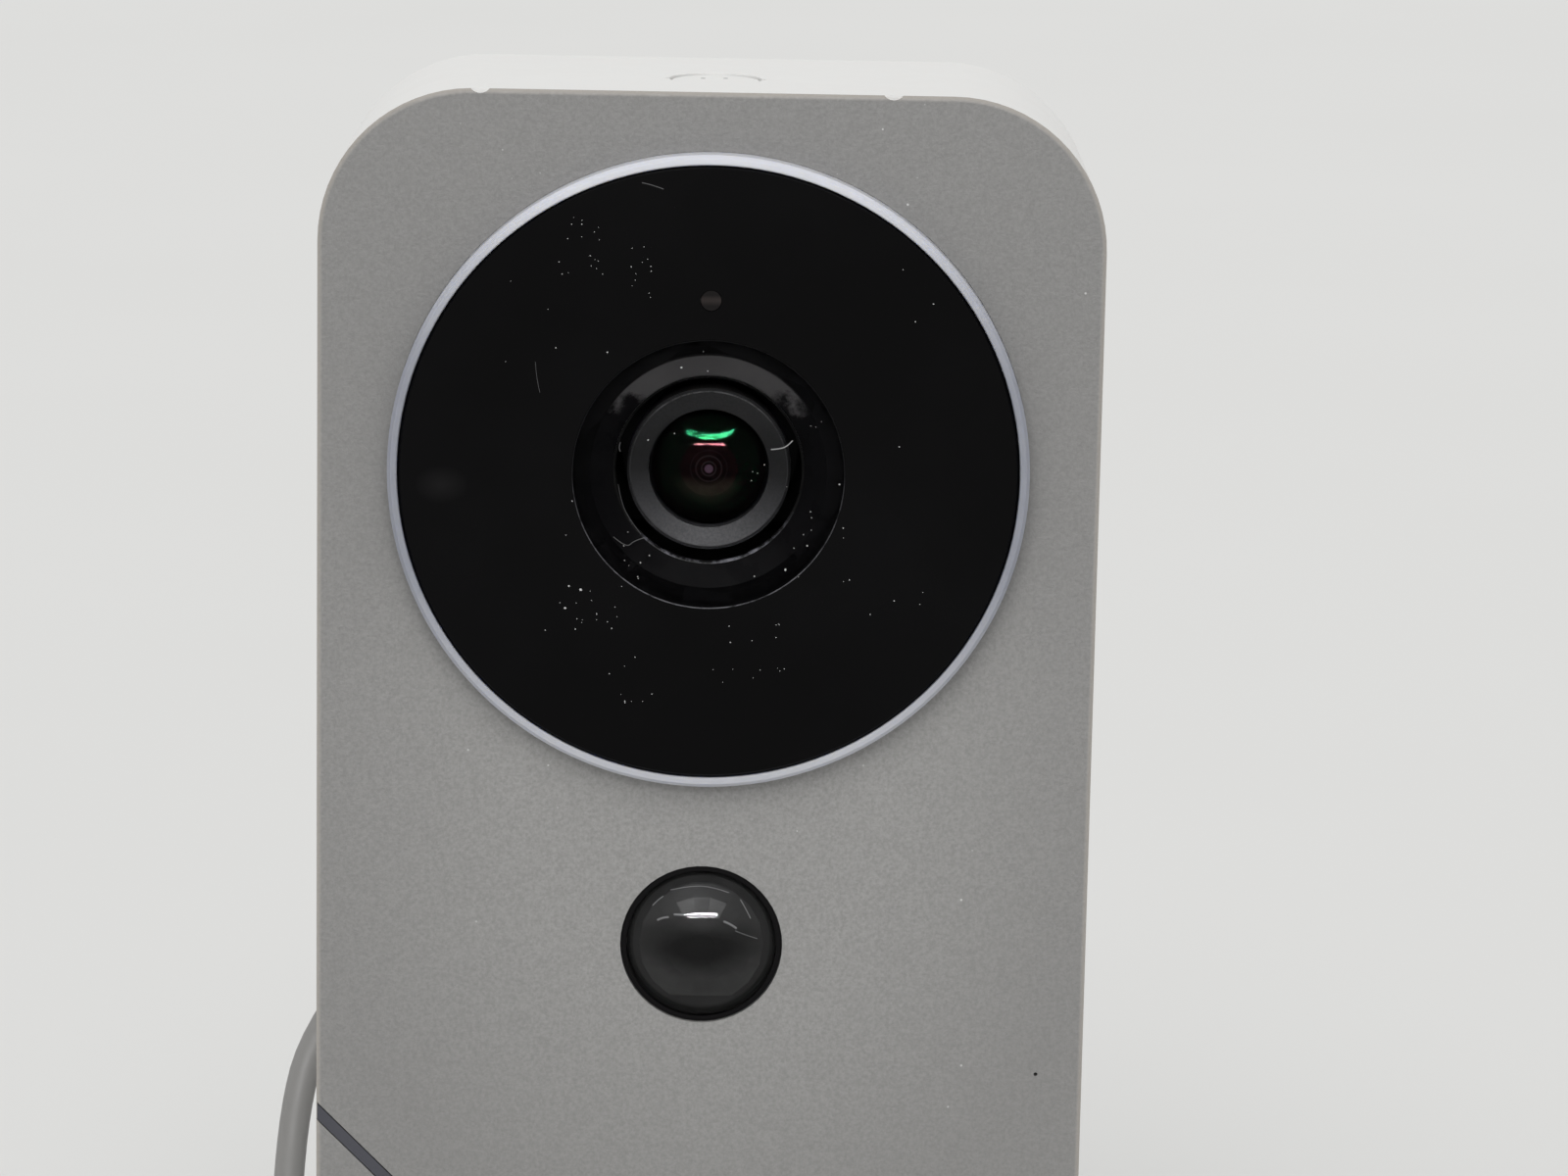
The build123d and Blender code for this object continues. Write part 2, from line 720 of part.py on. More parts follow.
def cut_filters():
    """The two filter glasses, each in its window."""
    back = HOLDER_FRONT + SHUTTLE_FRONT + SHUTTLE_T
    panes = [
        slab(Pos(x, z) * Rectangle(FILTER_W, FILTER_W), back - FILTER_T, back).solid()
        for x, z in shuttle_window_places()
    ]
    return Compound(panes)


def filter_drive():
    """Coil drive on the holder's upper side that shifts the carrier."""
    bottom = LENS_Z + HOLDER_H / 2
    shape = Pos(0, bottom + COIL_DRIVE_W / 2) * RectangleRounded(COIL_DRIVE_L, COIL_DRIVE_W, 0.8)
    return slab(shape, HOLDER_FRONT, HOLDER_BACK)


def image_sensor():
    """Sensor chip with its cover glass, on the front of the sensor board."""
    shape = Pos(0, LENS_Z) * Rectangle(SENSOR_W, SENSOR_H)
    chip = slab(shape, SENSOR_BOARD_FRONT - SENSOR_T * 0.6, SENSOR_BOARD_FRONT)
    glass = Pos(0, LENS_Z) * Rectangle(SENSOR_W - 1.2, SENSOR_H - 1.2)
    return chip + slab(glass, SENSOR_BOARD_FRONT - SENSOR_T, SENSOR_BOARD_FRONT - SENSOR_T * 0.6)


def sensor_board():
    shape = Pos(0, LENS_Z) * RectangleRounded(SENSOR_BOARD_W, SENSOR_BOARD_W, 1.5)
    return slab(shape, SENSOR_BOARD_FRONT, SENSOR_BOARD_BACK)


def ring_light_board():
    """Ring-shaped board behind the glass."""
    return tube(0, LENS_Z, RING_BOARD_OUT, RING_BOARD_IN, RING_BOARD_FRONT, RING_BOARD_BACK)


def ring_lamps():
    """Side-firing lamps at the board's rim that light the ring."""
    radius = RING_BOARD_OUT - RING_LAMP_L / 2 - 0.2
    front = RING_BOARD_FRONT - RING_LAMP_H
    lamps = []
    for x, z, angle in ring_places(RING_LAMPS, radius):
        shape = Pos(x, z) * Rot(0, 0, angle) * Rectangle(RING_LAMP_L, RING_LAMP_W)
        lamps.append(slab(shape, front, RING_BOARD_FRONT).solid())
    return Compound(lamps)


def infrared_lamps():
    """Night lamps behind the black glass."""
    front = RING_BOARD_FRONT - RING_LAMP_H
    radius = (RING_BOARD_IN + RING_BOARD_OUT) / 2
    lamps = [
        disc(x, z, IR_LAMP_R, front, RING_BOARD_FRONT).solid()
        for x, z, _ in ring_places(IR_LAMPS, radius, IR_LAMP_ANGLE)
    ]
    return Compound(lamps)


def light_sensor():
    """Light sensor whose lens fills its hole in the cover glass."""
    z = LENS_Z + LIGHT_SENSOR_UP
    return disc(0, z, LIGHT_SENSOR_R, 0.05 - RING_PROUD, RING_BOARD_FRONT)


def dome_profile(radius, apex, base):
    """Half of a domed outline from its apex back to a depth, as an arc and a side."""
    rise = base - apex
    mid = (radius * 0.6, apex + rise * 0.2)
    return ThreePointArc((0, apex), mid, (radius, base))


def motion_dome():
    """Hollow dome of the motion sensor, with a flange behind the cover."""
    outer = dome_profile(DOME_R, -DOME_PROUD, DOME_RIM_DEPTH)
    inner_r = DOME_R - DOME_WALL
    inner = dome_profile(inner_r, DOME_WALL - DOME_PROUD, DOME_RIM_DEPTH + DOME_WALL)
    flange_r = DOME_HOLE_R + DOME_FLANGE
    flange_back = COVER_T + DOME_FLANGE_T
    sides = Polyline(
        (DOME_R, DOME_RIM_DEPTH),
        (DOME_R, COVER_T),
        (flange_r, COVER_T),
        (flange_r, flange_back),
        (inner_r, flange_back),
        (inner_r, DOME_RIM_DEPTH + DOME_WALL),
    )
    close = Line((0, -DOME_PROUD), (0, DOME_WALL - DOME_PROUD))
    return turned(make_face([outer, sides, inner, close]), 0, DOME_Z)


def motion_dome_rim():
    """Black rim between the dome and its hole in the cover."""
    outer = DOME_HOLE_R - SEAT_GAP
    return tube(0, DOME_Z, outer, DOME_R + PIN_GAP, DOME_RIM_DEPTH, COVER_T)


def motion_sensor():
    """Sensor can behind the dome, with its square window."""
    can = disc(0, DOME_Z, MOTION_CAN_R, FRAME_BACK - MOTION_CAN_H, FRAME_BACK)
    window = Pos(0, DOME_Z) * Rectangle(MOTION_CAN_R, MOTION_CAN_R * 0.8)
    return can - slab(window, FRAME_BACK - MOTION_CAN_H - 1, FRAME_BACK - MOTION_CAN_H + 0.3)


def motion_sensor_board():
    shape = Pos(0, DOME_Z) * RectangleRounded(MOTION_BOARD_W, MOTION_BOARD_W, 1.0)
    return slab(shape, FRAME_BACK, FRAME_BACK + BOARD_T)


def accent_strip():
    """Thin smoky strip in the cover's groove, with light pins through the cover."""
    strip = slab(accent_band(ACCENT_W, 0.1), 0, ACCENT_T)
    for pin in accent_pins(ACCENT_PIN_R, ACCENT_T, COVER_T + 0.4):
        strip += pin
    return strip


def accent_lamps():
    """Lamps on the inner frame, one behind each pin of the strip."""
    lamps = []
    for x, z in accent_pin_places():
        lamp = slab(Pos(x, z) * Rectangle(1.6, 1.6), FRAME_DEPTH - ACCENT_LAMP_H, FRAME_DEPTH)
        lamps.append(lamp.solid())
    return Compound(lamps)


def inner_frame():
    """Black carrier plate: hub for the ring board, six screw posts and the button shelf."""
    frame = slab(outline(WALL + FRAME_INSET), FRAME_DEPTH, FRAME_BACK)
    for notch in at_tabs(frame_notch_profile, TAB_W + 4 * RUN_GAP):
        frame -= notch
    hub = RING_BOARD_IN + 2.0
    frame += tube(0, LENS_Z, hub + FRAME_HUB_WALL, hub, RING_BOARD_BACK, FRAME_DEPTH + 0.5)
    frame -= disc(0, LENS_Z, hub, RING_BOARD_BACK - 1, FRAME_BACK + 1)
    frame -= disc(0, DOME_Z, MOTION_CAN_R + SEAT_GAP, FRAME_DEPTH - 1, FRAME_BACK + 1)
    head_front = SCREW_HEAD_BACK - SCREW_HEAD_T
    for x, z in post_places():
        back = BOARD_BACK if z > BOARD_TOP_Z else BOARD_FRONT
        frame += disc(x, z, POST_R, FRAME_BACK - 0.5, back)
        frame -= disc(x, z, SCREW_HEAD_R + SEAT_GAP, FRAME_DEPTH - 1, SCREW_HEAD_BACK)
        frame -= disc(x, z, SCREW_R + SEAT_GAP, head_front, back + 1)
    room_low = button_under() - BUTTON_FLANGE_T - BUTTON_TRAVEL - RUN_GAP
    room = Circle(BUTTON_R + BUTTON_FLANGE + RUN_GAP)
    frame -= Pos(0, BUTTON_Y, 0) * level(room, room_low, TOP_Z)
    shelf = Pos(0, shelf_z() - SHELF_T / 2) * Rectangle(SHELF_W, SHELF_T)
    return frame + slab(shelf, FRAME_BACK - 0.5, BUTTON_DEPTH + SWITCH_W)


def button_under():
    """Height of the button flange's upper face, a running gap under the housing's top."""
    return TOP_Z - WALL - RUN_GAP


def stem_end():
    return button_under() - BUTTON_FLANGE_T - BUTTON_STEM_L


def shelf_z():
    """Top of the shelf under the button's switch."""
    return stem_end() - BUTTON_TRAVEL - RUN_GAP - SWITCH_PLUNGER_H - SWITCH_H - BOARD_T


def frame_screws():
    """Screws from the front through the posts into the housing's bosses."""
    screws = []
    for x, z in post_places():
        head = disc(x, z, SCREW_HEAD_R, SCREW_HEAD_BACK - SCREW_HEAD_T, SCREW_HEAD_BACK)
        screws.append((head + disc(x, z, SCREW_R, SCREW_HEAD_BACK, SCREW_HEAD_BACK + SCREW_L)).solid())
    return Compound(screws)


def main_board():
    """Main circuit board with its four screw holes."""
    height = BOARD_TOP_Z - BOARD_LOW_Z
    shape = RectangleRounded(BODY_W - 2 * BOARD_EDGE, height, 2.0)
    board = slab(Pos(0, BOARD_LOW_Z + height / 2) * shape, BOARD_FRONT, BOARD_BACK)
    for x, z in board_post_places():
        board -= disc(x, z, SCREW_R + SEAT_GAP, BOARD_FRONT - 1, BOARD_BACK + 1)
    return board


def shield_can():
    """Tin cover over the processor."""
    place = Pos(0, SHIELD_Z)
    can = slab(place * RectangleRounded(SHIELD_W, SHIELD_H, 1.0), BOARD_FRONT - SHIELD_T, BOARD_FRONT)
    room = place * Rectangle(SHIELD_W - 0.6, SHIELD_H - 0.6)
    return can - slab(room, BOARD_FRONT - SHIELD_T + 0.3, BOARD_FRONT + 1)


def heat_spreader():
    """Folded aluminium plate on the shield can, with its edges bent forwards."""
    place = Pos(0, SHIELD_Z)
    back = BOARD_FRONT - SHIELD_T
    plate = slab(place * RectangleRounded(SPREADER_W, SPREADER_H, 1.5), back - SPREADER_T, back)
    for side in (-1, 1):
        x = side * (SPREADER_W - SPREADER_T) / 2
        fin = place * Pos(x, 0) * Rectangle(SPREADER_T, SPREADER_H - 3.0)
        plate += slab(fin, back - SPREADER_T - SPREADER_FIN, back - 0.5)
    return plate


def microphone():
    """Microphone on the inner frame, behind its pinhole."""
    x = MIC_X - 0.6
    return slab(Pos(x, MIC_Z) * Rectangle(MIC_W, MIC_W), FRAME_DEPTH - MIC_T, FRAME_DEPTH)


def microphone_boot():
    """Rubber sleeve from the pinhole to the microphone."""
    x = MIC_X - 0.6
    boot = disc(x, MIC_Z, MIC_BOOT_R, COVER_T, FRAME_DEPTH - MIC_T)
    return boot - disc(MIC_X, MIC_Z, 2 * MIC_HOLE_R, COVER_T - 1, FRAME_DEPTH)


def antenna():
    """Flat antenna on the housing's left inner wall."""
    x = WALL - BODY_W / 2 + ANTENNA_T / 2
    shape = Pos(x, BODY_Z + ANTENNA_UP + ANTENNA_L / 2) * Rectangle(ANTENNA_T, ANTENNA_L)
    return slab(shape, ANTENNA_DEPTH, ANTENNA_DEPTH + ANTENNA_W)


def speaker():
    """Round speaker behind the grille: basket, raised magnet and dished cone."""
    magnet = SPEAKER_FRONT + SPEAKER_T * 0.5
    profile = [
        (0, SPEAKER_FRONT),
        (SPEAKER_R * 0.55, SPEAKER_FRONT),
        (SPEAKER_R * 0.6, magnet),
        (SPEAKER_R, magnet + 0.4),
        (SPEAKER_R, SPEAKER_BACK),
        (SPEAKER_R - 1.5, SPEAKER_BACK),
        (SPEAKER_R * 0.35, SPEAKER_BACK - 1.0),
        (0, SPEAKER_BACK - 0.6),
    ]
    return turned(polygon(profile), 0, SPEAKER_Z)


def speaker_gasket():
    return tube(0, SPEAKER_Z, SPEAKER_R, SPEAKER_R - 1.5, SPEAKER_BACK, SPEAKER_BACK + GASKET_T)


def speaker_grille():
    """Slotted disc flush in the housing's back, with a flange inside."""
    grille = disc(0, SPEAKER_Z, GRILLE_R, REAR_IN - 0.4, BODY_D)
    grille += disc(0, SPEAKER_Z, GRILLE_R + GRILLE_FLANGE, REAR_IN - GRILLE_FLANGE_T, REAR_IN)
    reach = GRILLE_R - 1.6
    for k in range(GRILLE_SLOTS):
        rise = (k - (GRILLE_SLOTS - 1) / 2) * GRILLE_SLOT_PITCH
        length = 2 * math.sqrt(max(reach**2 - rise**2, GRILLE_SLOT_W**2))
        slot = Pos(0, SPEAKER_Z + rise) * SlotOverall(length, GRILLE_SLOT_W)
        grille -= slab(slot, REAR_IN - 2, BODY_D + 1)
    return grille


def usb_socket():
    """Socket on the back of the main board, open to the back, with its contact tongue."""
    back = BODY_D - USB_SET_BACK
    place = Pos(0, USB_Z)
    shell = slab(place * RectangleRounded(USB_W, USB_H, 0.6), BOARD_BACK, back)
    room = RectangleRounded(USB_W - 2 * USB_SHELL, USB_H - 2 * USB_SHELL, 0.3)
    shell -= slab(place * room, BOARD_BACK + 0.8, back + 1)
    tongue = place * Rectangle(USB_W * 0.5, 0.4)
    return shell + slab(tongue, BOARD_BACK + 0.5, back - 1.0)


def reset_switch():
    """Small switch on the main board, behind the pinhole in the back."""
    body = slab(Pos(RESET_X, USB_Z) * Rectangle(RESET_W, RESET_H), BOARD_BACK, BOARD_BACK + RESET_L)
    return body + disc(RESET_X, USB_Z, 0.8, BOARD_BACK + RESET_L, BOARD_BACK + RESET_L + 0.4)


def top_button():
    """Round cap in the housing's top, with its retaining flange and stem."""
    under = button_under()
    cap = level(Circle(BUTTON_R - BUTTON_GAP), under - 0.2, TOP_Z - BUTTON_SUNK)
    cap = chamfer(cap.edges().group_by(Axis.Z)[-1], 0.08)
    cap += level(Circle(BUTTON_R + BUTTON_FLANGE), under - BUTTON_FLANGE_T, under)
    cap += level(Circle(BUTTON_STEM_R), stem_end(), under - 0.5)
    return Pos(0, BUTTON_Y, 0) * cap


def button_board():
    low = shelf_z()
    reach = 2 * (BUTTON_DEPTH - FRAME_BACK - SEAT_GAP)
    return Pos(0, BUTTON_Y, 0) * level(Rectangle(SHELF_W - 2.0, reach), low, low + BOARD_T)


def button_switch():
    """Tact switch under the button."""
    low = shelf_z() + BOARD_T
    switch = level(RectangleRounded(SWITCH_W, SWITCH_W, 0.5), low, low + SWITCH_H)
    plunger = level(Circle(SWITCH_PLUNGER_R), low + SWITCH_H, low + SWITCH_H + SWITCH_PLUNGER_H)
    return Pos(0, BUTTON_Y, 0) * (switch + plunger)


def ear_outline():
    """Side view of a hinge ear: rounded at the pin, running back to the yoke's plate."""
    back = BOARD_BACK - PIVOT_DEPTH
    round_end = Pos(0, PIVOT_Z) * Circle(EAR_R)
    arm = Pos(back / 2, PIVOT_Z) * Rectangle(back, 2 * EAR_R)
    return round_end + arm


def pivot_yoke():
    """Steel yoke inside the body's bottom: back plate and two ears for the hinge pin."""
    low = PIVOT_Z - YOKE_DROP
    high = PIVOT_Z + YOKE_RISE
    half = ear_inner() + EAR_T
    plate = Pos(0, (low + high) / 2) * RectangleRounded(2 * half, high - low, 1.0)
    yoke = slab(plate, BOARD_BACK - YOKE_T, BOARD_BACK)
    for side in (-1, 1):
        middle = side * (ear_inner() + EAR_T / 2)
        yoke += Pos(middle, 0, 0) * extrude(Plane.YZ * ear_outline(), amount=EAR_T / 2, both=True)
    pin_hole = Cylinder(PIN_R + SCREW_GAP, 4 * half, rotation=(0, 90, 0))
    yoke -= Pos(0, 0, PIVOT_Z) * pin_hole
    for x, z in yoke_screw_places():
        yoke -= disc(x, z, SCREW_R + SEAT_GAP, BOARD_BACK - YOKE_T - 1, BOARD_BACK + 1)
    return yoke


def ear_inner():
    """Half the room between the yoke's ears: half the neck, a washer and two running gaps."""
    return NECK_W / 2 + WASHER_T + 2 * PIN_GAP


def yoke_screws():
    screws = []
    seat = BOARD_BACK - YOKE_T
    for x, z in yoke_screw_places():
        head = disc(x, z, SCREW_HEAD_R, seat - SCREW_HEAD_T, seat)
        shank_end = BOARD_BACK + BOSS_PILOT_L - 0.2
        screws.append((head + disc(x, z, SCREW_R, seat, shank_end)).solid())
    return Compound(screws)


def hinge_pin():
    """Steel pin through both ears and the neck's knuckle."""
    length = 2 * (ear_inner() + EAR_T) + 0.8
    pin = Cylinder(PIN_R, length, rotation=(0, 90, 0))
    pin = chamfer(pin.edges(), 0.3)
    return Pos(0, 0, PIVOT_Z) * pin


def friction_washers():
    """Two washers that grip the neck between the ears."""
    ring = Circle(WASHER_R) - Circle(PIN_R + PIN_GAP)
    washers = []
    for side in (-1, 1):
        x = side * (NECK_W / 2 + PIN_GAP + WASHER_T / 2)
        washer = extrude(Plane.YZ * (Pos(0, PIVOT_Z) * ring), amount=WASHER_T / 2, both=True)
        washers.append((Pos(x, 0, 0) * washer).solid())
    return Compound(washers)


def neck():
    """Stand's neck: flange under the base's top, waisted stem and the knuckle on the pin."""
    flange_top = BASE_H - BASE_WALL
    knuckle = Pos(0, PIVOT_Z) * Circle(KNUCKLE_R)
    stem = Polyline(
        (-NECK_T / 2, flange_top - 0.5),
        (NECK_T / 2, flange_top - 0.5),
        (NECK_T / 2, PIVOT_Z),
        (-NECK_T / 2, PIVOT_Z),
        close=True,
    )
    side = knuckle + make_face(stem)
    body = extrude(Plane.YZ * side, amount=NECK_W / 2, both=True)
    body += level(Circle(NECK_FLANGE_R), flange_top - NECK_FLANGE_T, flange_top)
    body -= Pos(0, 0, PIVOT_Z) * Cylinder(PIN_R + PIN_GAP, 2 * NECK_W, rotation=(0, 90, 0))
    low = flange_top - NECK_FLANGE_T - 1
    for x, y in neck_screw_places():
        body -= Pos(x, y, 0) * level(Circle(SCREW_R + SCREW_GAP), low, flange_top + 2.5)
    return body


def circle_places(pcd, count, start):
    """Centres on a circle about the stand's axis, from a start angle on."""
    for k in range(count):
        turn = math.radians(start + 360.0 * k / count)
        yield pcd / 2 * math.cos(turn), pcd / 2 * math.sin(turn)


def neck_screw_places():
    return circle_places(NECK_SCREW_PCD, NECK_SCREWS, 0.0)


def wall_screw_places():
    return circle_places(WALL_SCREW_PCD, WALL_SCREWS, -90.0)


def base_shell():
    """Round base cover with a soft top edge, countersunk wall screw holes and the neck's hole."""
    profile = [(0, BASE_LIFT), (BASE_R, BASE_LIFT), (BASE_R, BASE_H), (0, BASE_H)]
    shell = turned_up(polygon(profile))
    shell = fillet(shell.edges().group_by(Axis.Z)[-1], BASE_EDGE_R)
    room = BASE_H - BASE_WALL
    shell -= level(Circle(BASE_R - BASE_WALL), BASE_LIFT - 1, room)
    shell -= level(Rectangle(NECK_W + 2 * SEAT_GAP, NECK_T + 2 * SEAT_GAP), room - 1, BASE_H + 1)
    for x, y in wall_screw_places():
        pillar = Pos(x, y, 0) * level(Circle(WALL_SINK_R), BASE_LIFT + PLATE_T, room + 0.5)
        shell += pillar
        shell -= Pos(x, y, 0) * level(Circle(WALL_HOLE_R), BASE_LIFT - 1, BASE_H + 1)
        sink = Cone(WALL_HOLE_R, WALL_SINK_R, WALL_SINK_R - WALL_HOLE_R)
        shell -= Pos(x, y, BASE_H - (WALL_SINK_R - WALL_HOLE_R) / 2) * sink
    return shell


def base_plate():
    """Bottom plate of the base with the groove that holds the foot ring."""
    plate = level(Circle(BASE_R - BASE_WALL - SEAT_GAP), BASE_LIFT, BASE_LIFT + PLATE_T)
    plate -= level(foot_outline(SEAT_GAP), BASE_LIFT - 1, BASE_LIFT + FOOT_SUNK)
    for x, y in wall_screw_places():
        plate -= Pos(x, y, 0) * level(Circle(WALL_HOLE_R), BASE_LIFT - 1, BASE_LIFT + PLATE_T + 1)
    for x, y in neck_screw_places():
        plate -= Pos(x, y, 0) * level(Circle(SCREW_R + SEAT_GAP), BASE_LIFT - 1, BASE_LIFT + PLATE_T + 1)
        sink = level(Circle(SCREW_HEAD_R + SEAT_GAP), BASE_LIFT - 1, BASE_LIFT + 0.8)
        plate -= Pos(x, y, 0) * sink
    return plate


def foot_outline(gap):
    outer = BASE_R - FOOT_EDGE
    return Circle(outer + gap) - Circle(outer - FOOT_W - gap)


def base_foot_ring():
    """Soft ring that the stand rests on."""
    return level(foot_outline(0), 0, BASE_LIFT + FOOT_SUNK)


def base_ballast():
    """Steel weight between the bottom plate and the base's top."""
    ring = Circle(BASE_R - BASE_WALL - BALLAST_EDGE) - Circle(NECK_FLANGE_R + BALLAST_IN_GAP)
    ballast = level(ring, BASE_LIFT + PLATE_T, BASE_H - BASE_WALL)
    for x, y in wall_screw_places():
        hole = level(Circle(WALL_SINK_R + SEAT_GAP), BASE_LIFT, BASE_H)
        ballast -= Pos(x, y, 0) * hole
    return ballast


def neck_screws():
    """Screws from below through the bottom plate into the neck."""
    screws = []
    seat = BASE_LIFT + 0.8
    tip = BASE_H - BASE_WALL + 2.0
    for x, y in neck_screw_places():
        head = level(Circle(SCREW_HEAD_R), seat - 0.7, seat)
        screw = head + level(Circle(SCREW_R), seat, tip)
        screws.append((Pos(x, y, 0) * screw).solid())
    return Compound(screws)


def neck_spacer():
    """Boss of the bottom plate that the neck's flange rests on."""
    low = BASE_LIFT + PLATE_T
    high = BASE_H - BASE_WALL - NECK_FLANGE_T
    spacer = level(Circle(NECK_FLANGE_R), low, high)
    for x, y in neck_screw_places():
        spacer -= Pos(x, y, 0) * level(Circle(SCREW_R + SEAT_GAP), low - 1, high + 1)
    return spacer


def cord_camera_plug():
    """Moulded plug in the camera's socket: tapered grip and hollow metal tip."""
    back = PLUG_FRONT + PLUG_L
    place = Pos(0, USB_Z)
    wide = place * RectangleRounded(PLUG_W, PLUG_H, 2.2)
    narrow = place * RectangleRounded(PLUG_W - 2.4, PLUG_H - 1.4, 2.2)
    grip = slab(wide, PLUG_FRONT, back - 5.0)
    grip += loft([face_at(back - 5.0) * wide, face_at(back) * narrow])
    tip_front = PLUG_FRONT - PLUG_TIP_L
    tip = slab(place * RectangleRounded(PLUG_TIP_W, PLUG_TIP_H, 0.4), tip_front, PLUG_FRONT + 0.5)
    hollow = place * Rectangle(PLUG_TIP_W - 0.7, PLUG_TIP_H - 0.7)
    return grip + (tip - slab(hollow, tip_front - 1, PLUG_FRONT - 0.6))


def cord_strain_relief():
    """Ribbed tapered sleeve between the plug and the free cord."""
    front = PLUG_FRONT + PLUG_L
    step = RELIEF_L / (2 * RELIEF_RIBS)
    points = [(0, front)]
    for k in range(RELIEF_RIBS):
        radius = RELIEF_R + (RELIEF_END_R - RELIEF_R) * k / (RELIEF_RIBS - 1)
        near = front + 2 * k * step
        waist = max(radius - 0.45, CORD_R + 0.1)
        points += [(radius, near), (radius, near + step), (waist, near + step), (waist, near + 2 * step)]
    points.append((0, front + RELIEF_L))
    return turned(polygon(points), 0, USB_Z)


def corner_radii(route):
    """Arc radius at each corner: 0.45 of its shorter run over the tangent of half the turn."""
    points = [Vector(*p) for p in route]
    radii = []
    for a, b, c in zip(points, points[1:], points[2:]):
        half_turn = math.radians((b - a).get_angle(c - b)) / 2
        radii.append(0.45 * min((b - a).length, (c - b).length) / math.tan(half_turn))
    return radii


def swept_cord(edges, start, direction):
    """Round cord along joined edges."""
    section = Plane(origin=start, z_dir=direction) * Circle(CORD_R)
    return sweep(section, path=Wire(edges))


def laid_cord(name, route):
    """Cord along straight runs and tangent arcs; prints its radii and compares its volume."""
    radii = corner_radii(route)
    path = FilletPolyline(*route, radius=radii)
    direction = Vector(*route[1]) - Vector(*route[0])
    cord = swept_cord(path.edges(), route[0], direction)
    share = cord.volume / (math.pi * CORD_R**2 * path.length)
    print(f"{name} {path.length:.1f} mm, volume over section times length {share:.4f}, radii",
          [round(r, 1) for r in radii])
    return cord


def coil_turns():
    """End points and turning centres' sides of every half turn, from the outer bottom turn up."""
    ends = [(-1, COIL_OUT_R, COIL_Z)]
    side = -1
    for layer in range(COIL_LAYERS):
        inwards = layer % 2 == 0
        for _ in range(COIL_HALF_TURNS):
            side = -side
            _, radius, z = ends[-1]
            ends.append((side, radius + (-0.5 if inwards else 0.5) * COIL_PITCH, z))
        if layer < COIL_LAYERS - 1:
            side = -side
            _, radius, z = ends[-1]
            ends.append((side, radius, z + COIL_RISE))
    return ends


def coil_edges():
    """Half circles joined tangent to tangent, with a straight cord's width at each end."""
    ends = coil_turns()
    places = [Vector(COIL_X, COIL_Y + side * radius, z) for side, radius, z in ends]
    start = places[0]
    edges = [Line(start - Vector(CORD_D, 0, 0), start)]
    for a, b in zip(places, places[1:]):
        heading = 1 if b.Y > a.Y else -1
        reach = (b - a).length / 2
        middle = (a + b) * 0.5 + Vector(heading * reach, 0, 0)
        edges.append(ThreePointArc(a, middle, b))
    edges.append(Line(places[-1], places[-1] - Vector(CORD_D, 0, 0)))
    return edges


def least_self_gap(edges, step=1.5):
    """Least gap between turns, from points along the coil that are over a quarter turn apart."""
    points = []
    for edge in edges:
        count = max(2, round(edge.length / step))
        points += [edge @ (k / count) for k in range(count)]
    apart = round(COIL_IN_R * math.pi / 2 / step)
    least = min(
        (points[j] - points[i]).length
        for i in range(len(points))
        for j in range(i + apart, len(points))
    )
    return least - CORD_D


def cord_coil():
    """The put-away length: one tube wound in four layers that spiral in and out again."""
    edges = coil_edges()
    length = sum(edge.length for edge in edges)
    turns = (len(edges) - 2) / 2
    print(f"coil {length:.1f} mm in {turns} turns, least gap to itself {least_self_gap(edges):.2f} mm")
    start = edges[0] @ 0
    coil = swept_cord([edge.edge() for edge in edges], start, (1, 0, 0))
    print(f"coil volume over section times length {coil.volume / (math.pi * CORD_R**2 * length):.4f}")
    return coil


def cord_tie():
    """Flat band round the bundle on the coil's right."""
    inner_w = COIL_OUT_R - COIL_IN_R + CORD_D + 2 * TIE_GAP
    low = COIL_LIFT - TIE_GAP
    high = COIL_TOP_Z + CORD_R + TIE_GAP
    middle = (low + high) / 2
    radius = 1.2
    place = Pos(COIL_X + COIL_MEAN_R, middle)
    outer = place * RectangleRounded(inner_w + 2 * TIE_T, high - low + 2 * TIE_T, radius + TIE_T)
    inner = place * RectangleRounded(inner_w, high - low, radius)
    band = extrude(Plane.XZ * (outer - inner), amount=TIE_W / 2, both=True)
    return Pos(0, COIL_Y, 0) * band


def cord_usb_plug():
    """Plug on the far end: short relief, flat grip and open metal shell."""
    x = TAIL_ROUTE[-1][0]
    place = Plane(origin=(x, USB_A_Y, USB_A_Z), x_dir=(0, 1, 0), z_dir=(-1, 0, 0))
    plug = extrude(place * Circle(2.4), amount=USB_A_RELIEF_L + 0.5)
    grip_start = place.offset(USB_A_RELIEF_L)
    grip = extrude(grip_start * RectangleRounded(USB_A_GRIP_W, USB_A_GRIP_H, 2.0), amount=USB_A_GRIP_L)
    shell_start = place.offset(USB_A_RELIEF_L + USB_A_GRIP_L)
    shell = Rectangle(USB_A_W, USB_A_H) - Rectangle(USB_A_W - 2 * USB_A_SHELL, USB_A_H - 2 * USB_A_SHELL)
    metal = extrude(shell_start.offset(-0.5) * shell, amount=USB_A_L + 0.5)
    blade = Pos(0, 0.9) * Rectangle(USB_A_W - 1.2, 1.4)
    tongue = extrude(shell_start.offset(-0.5) * blade, amount=USB_A_L - 1)
    return plug + grip + metal + tongue


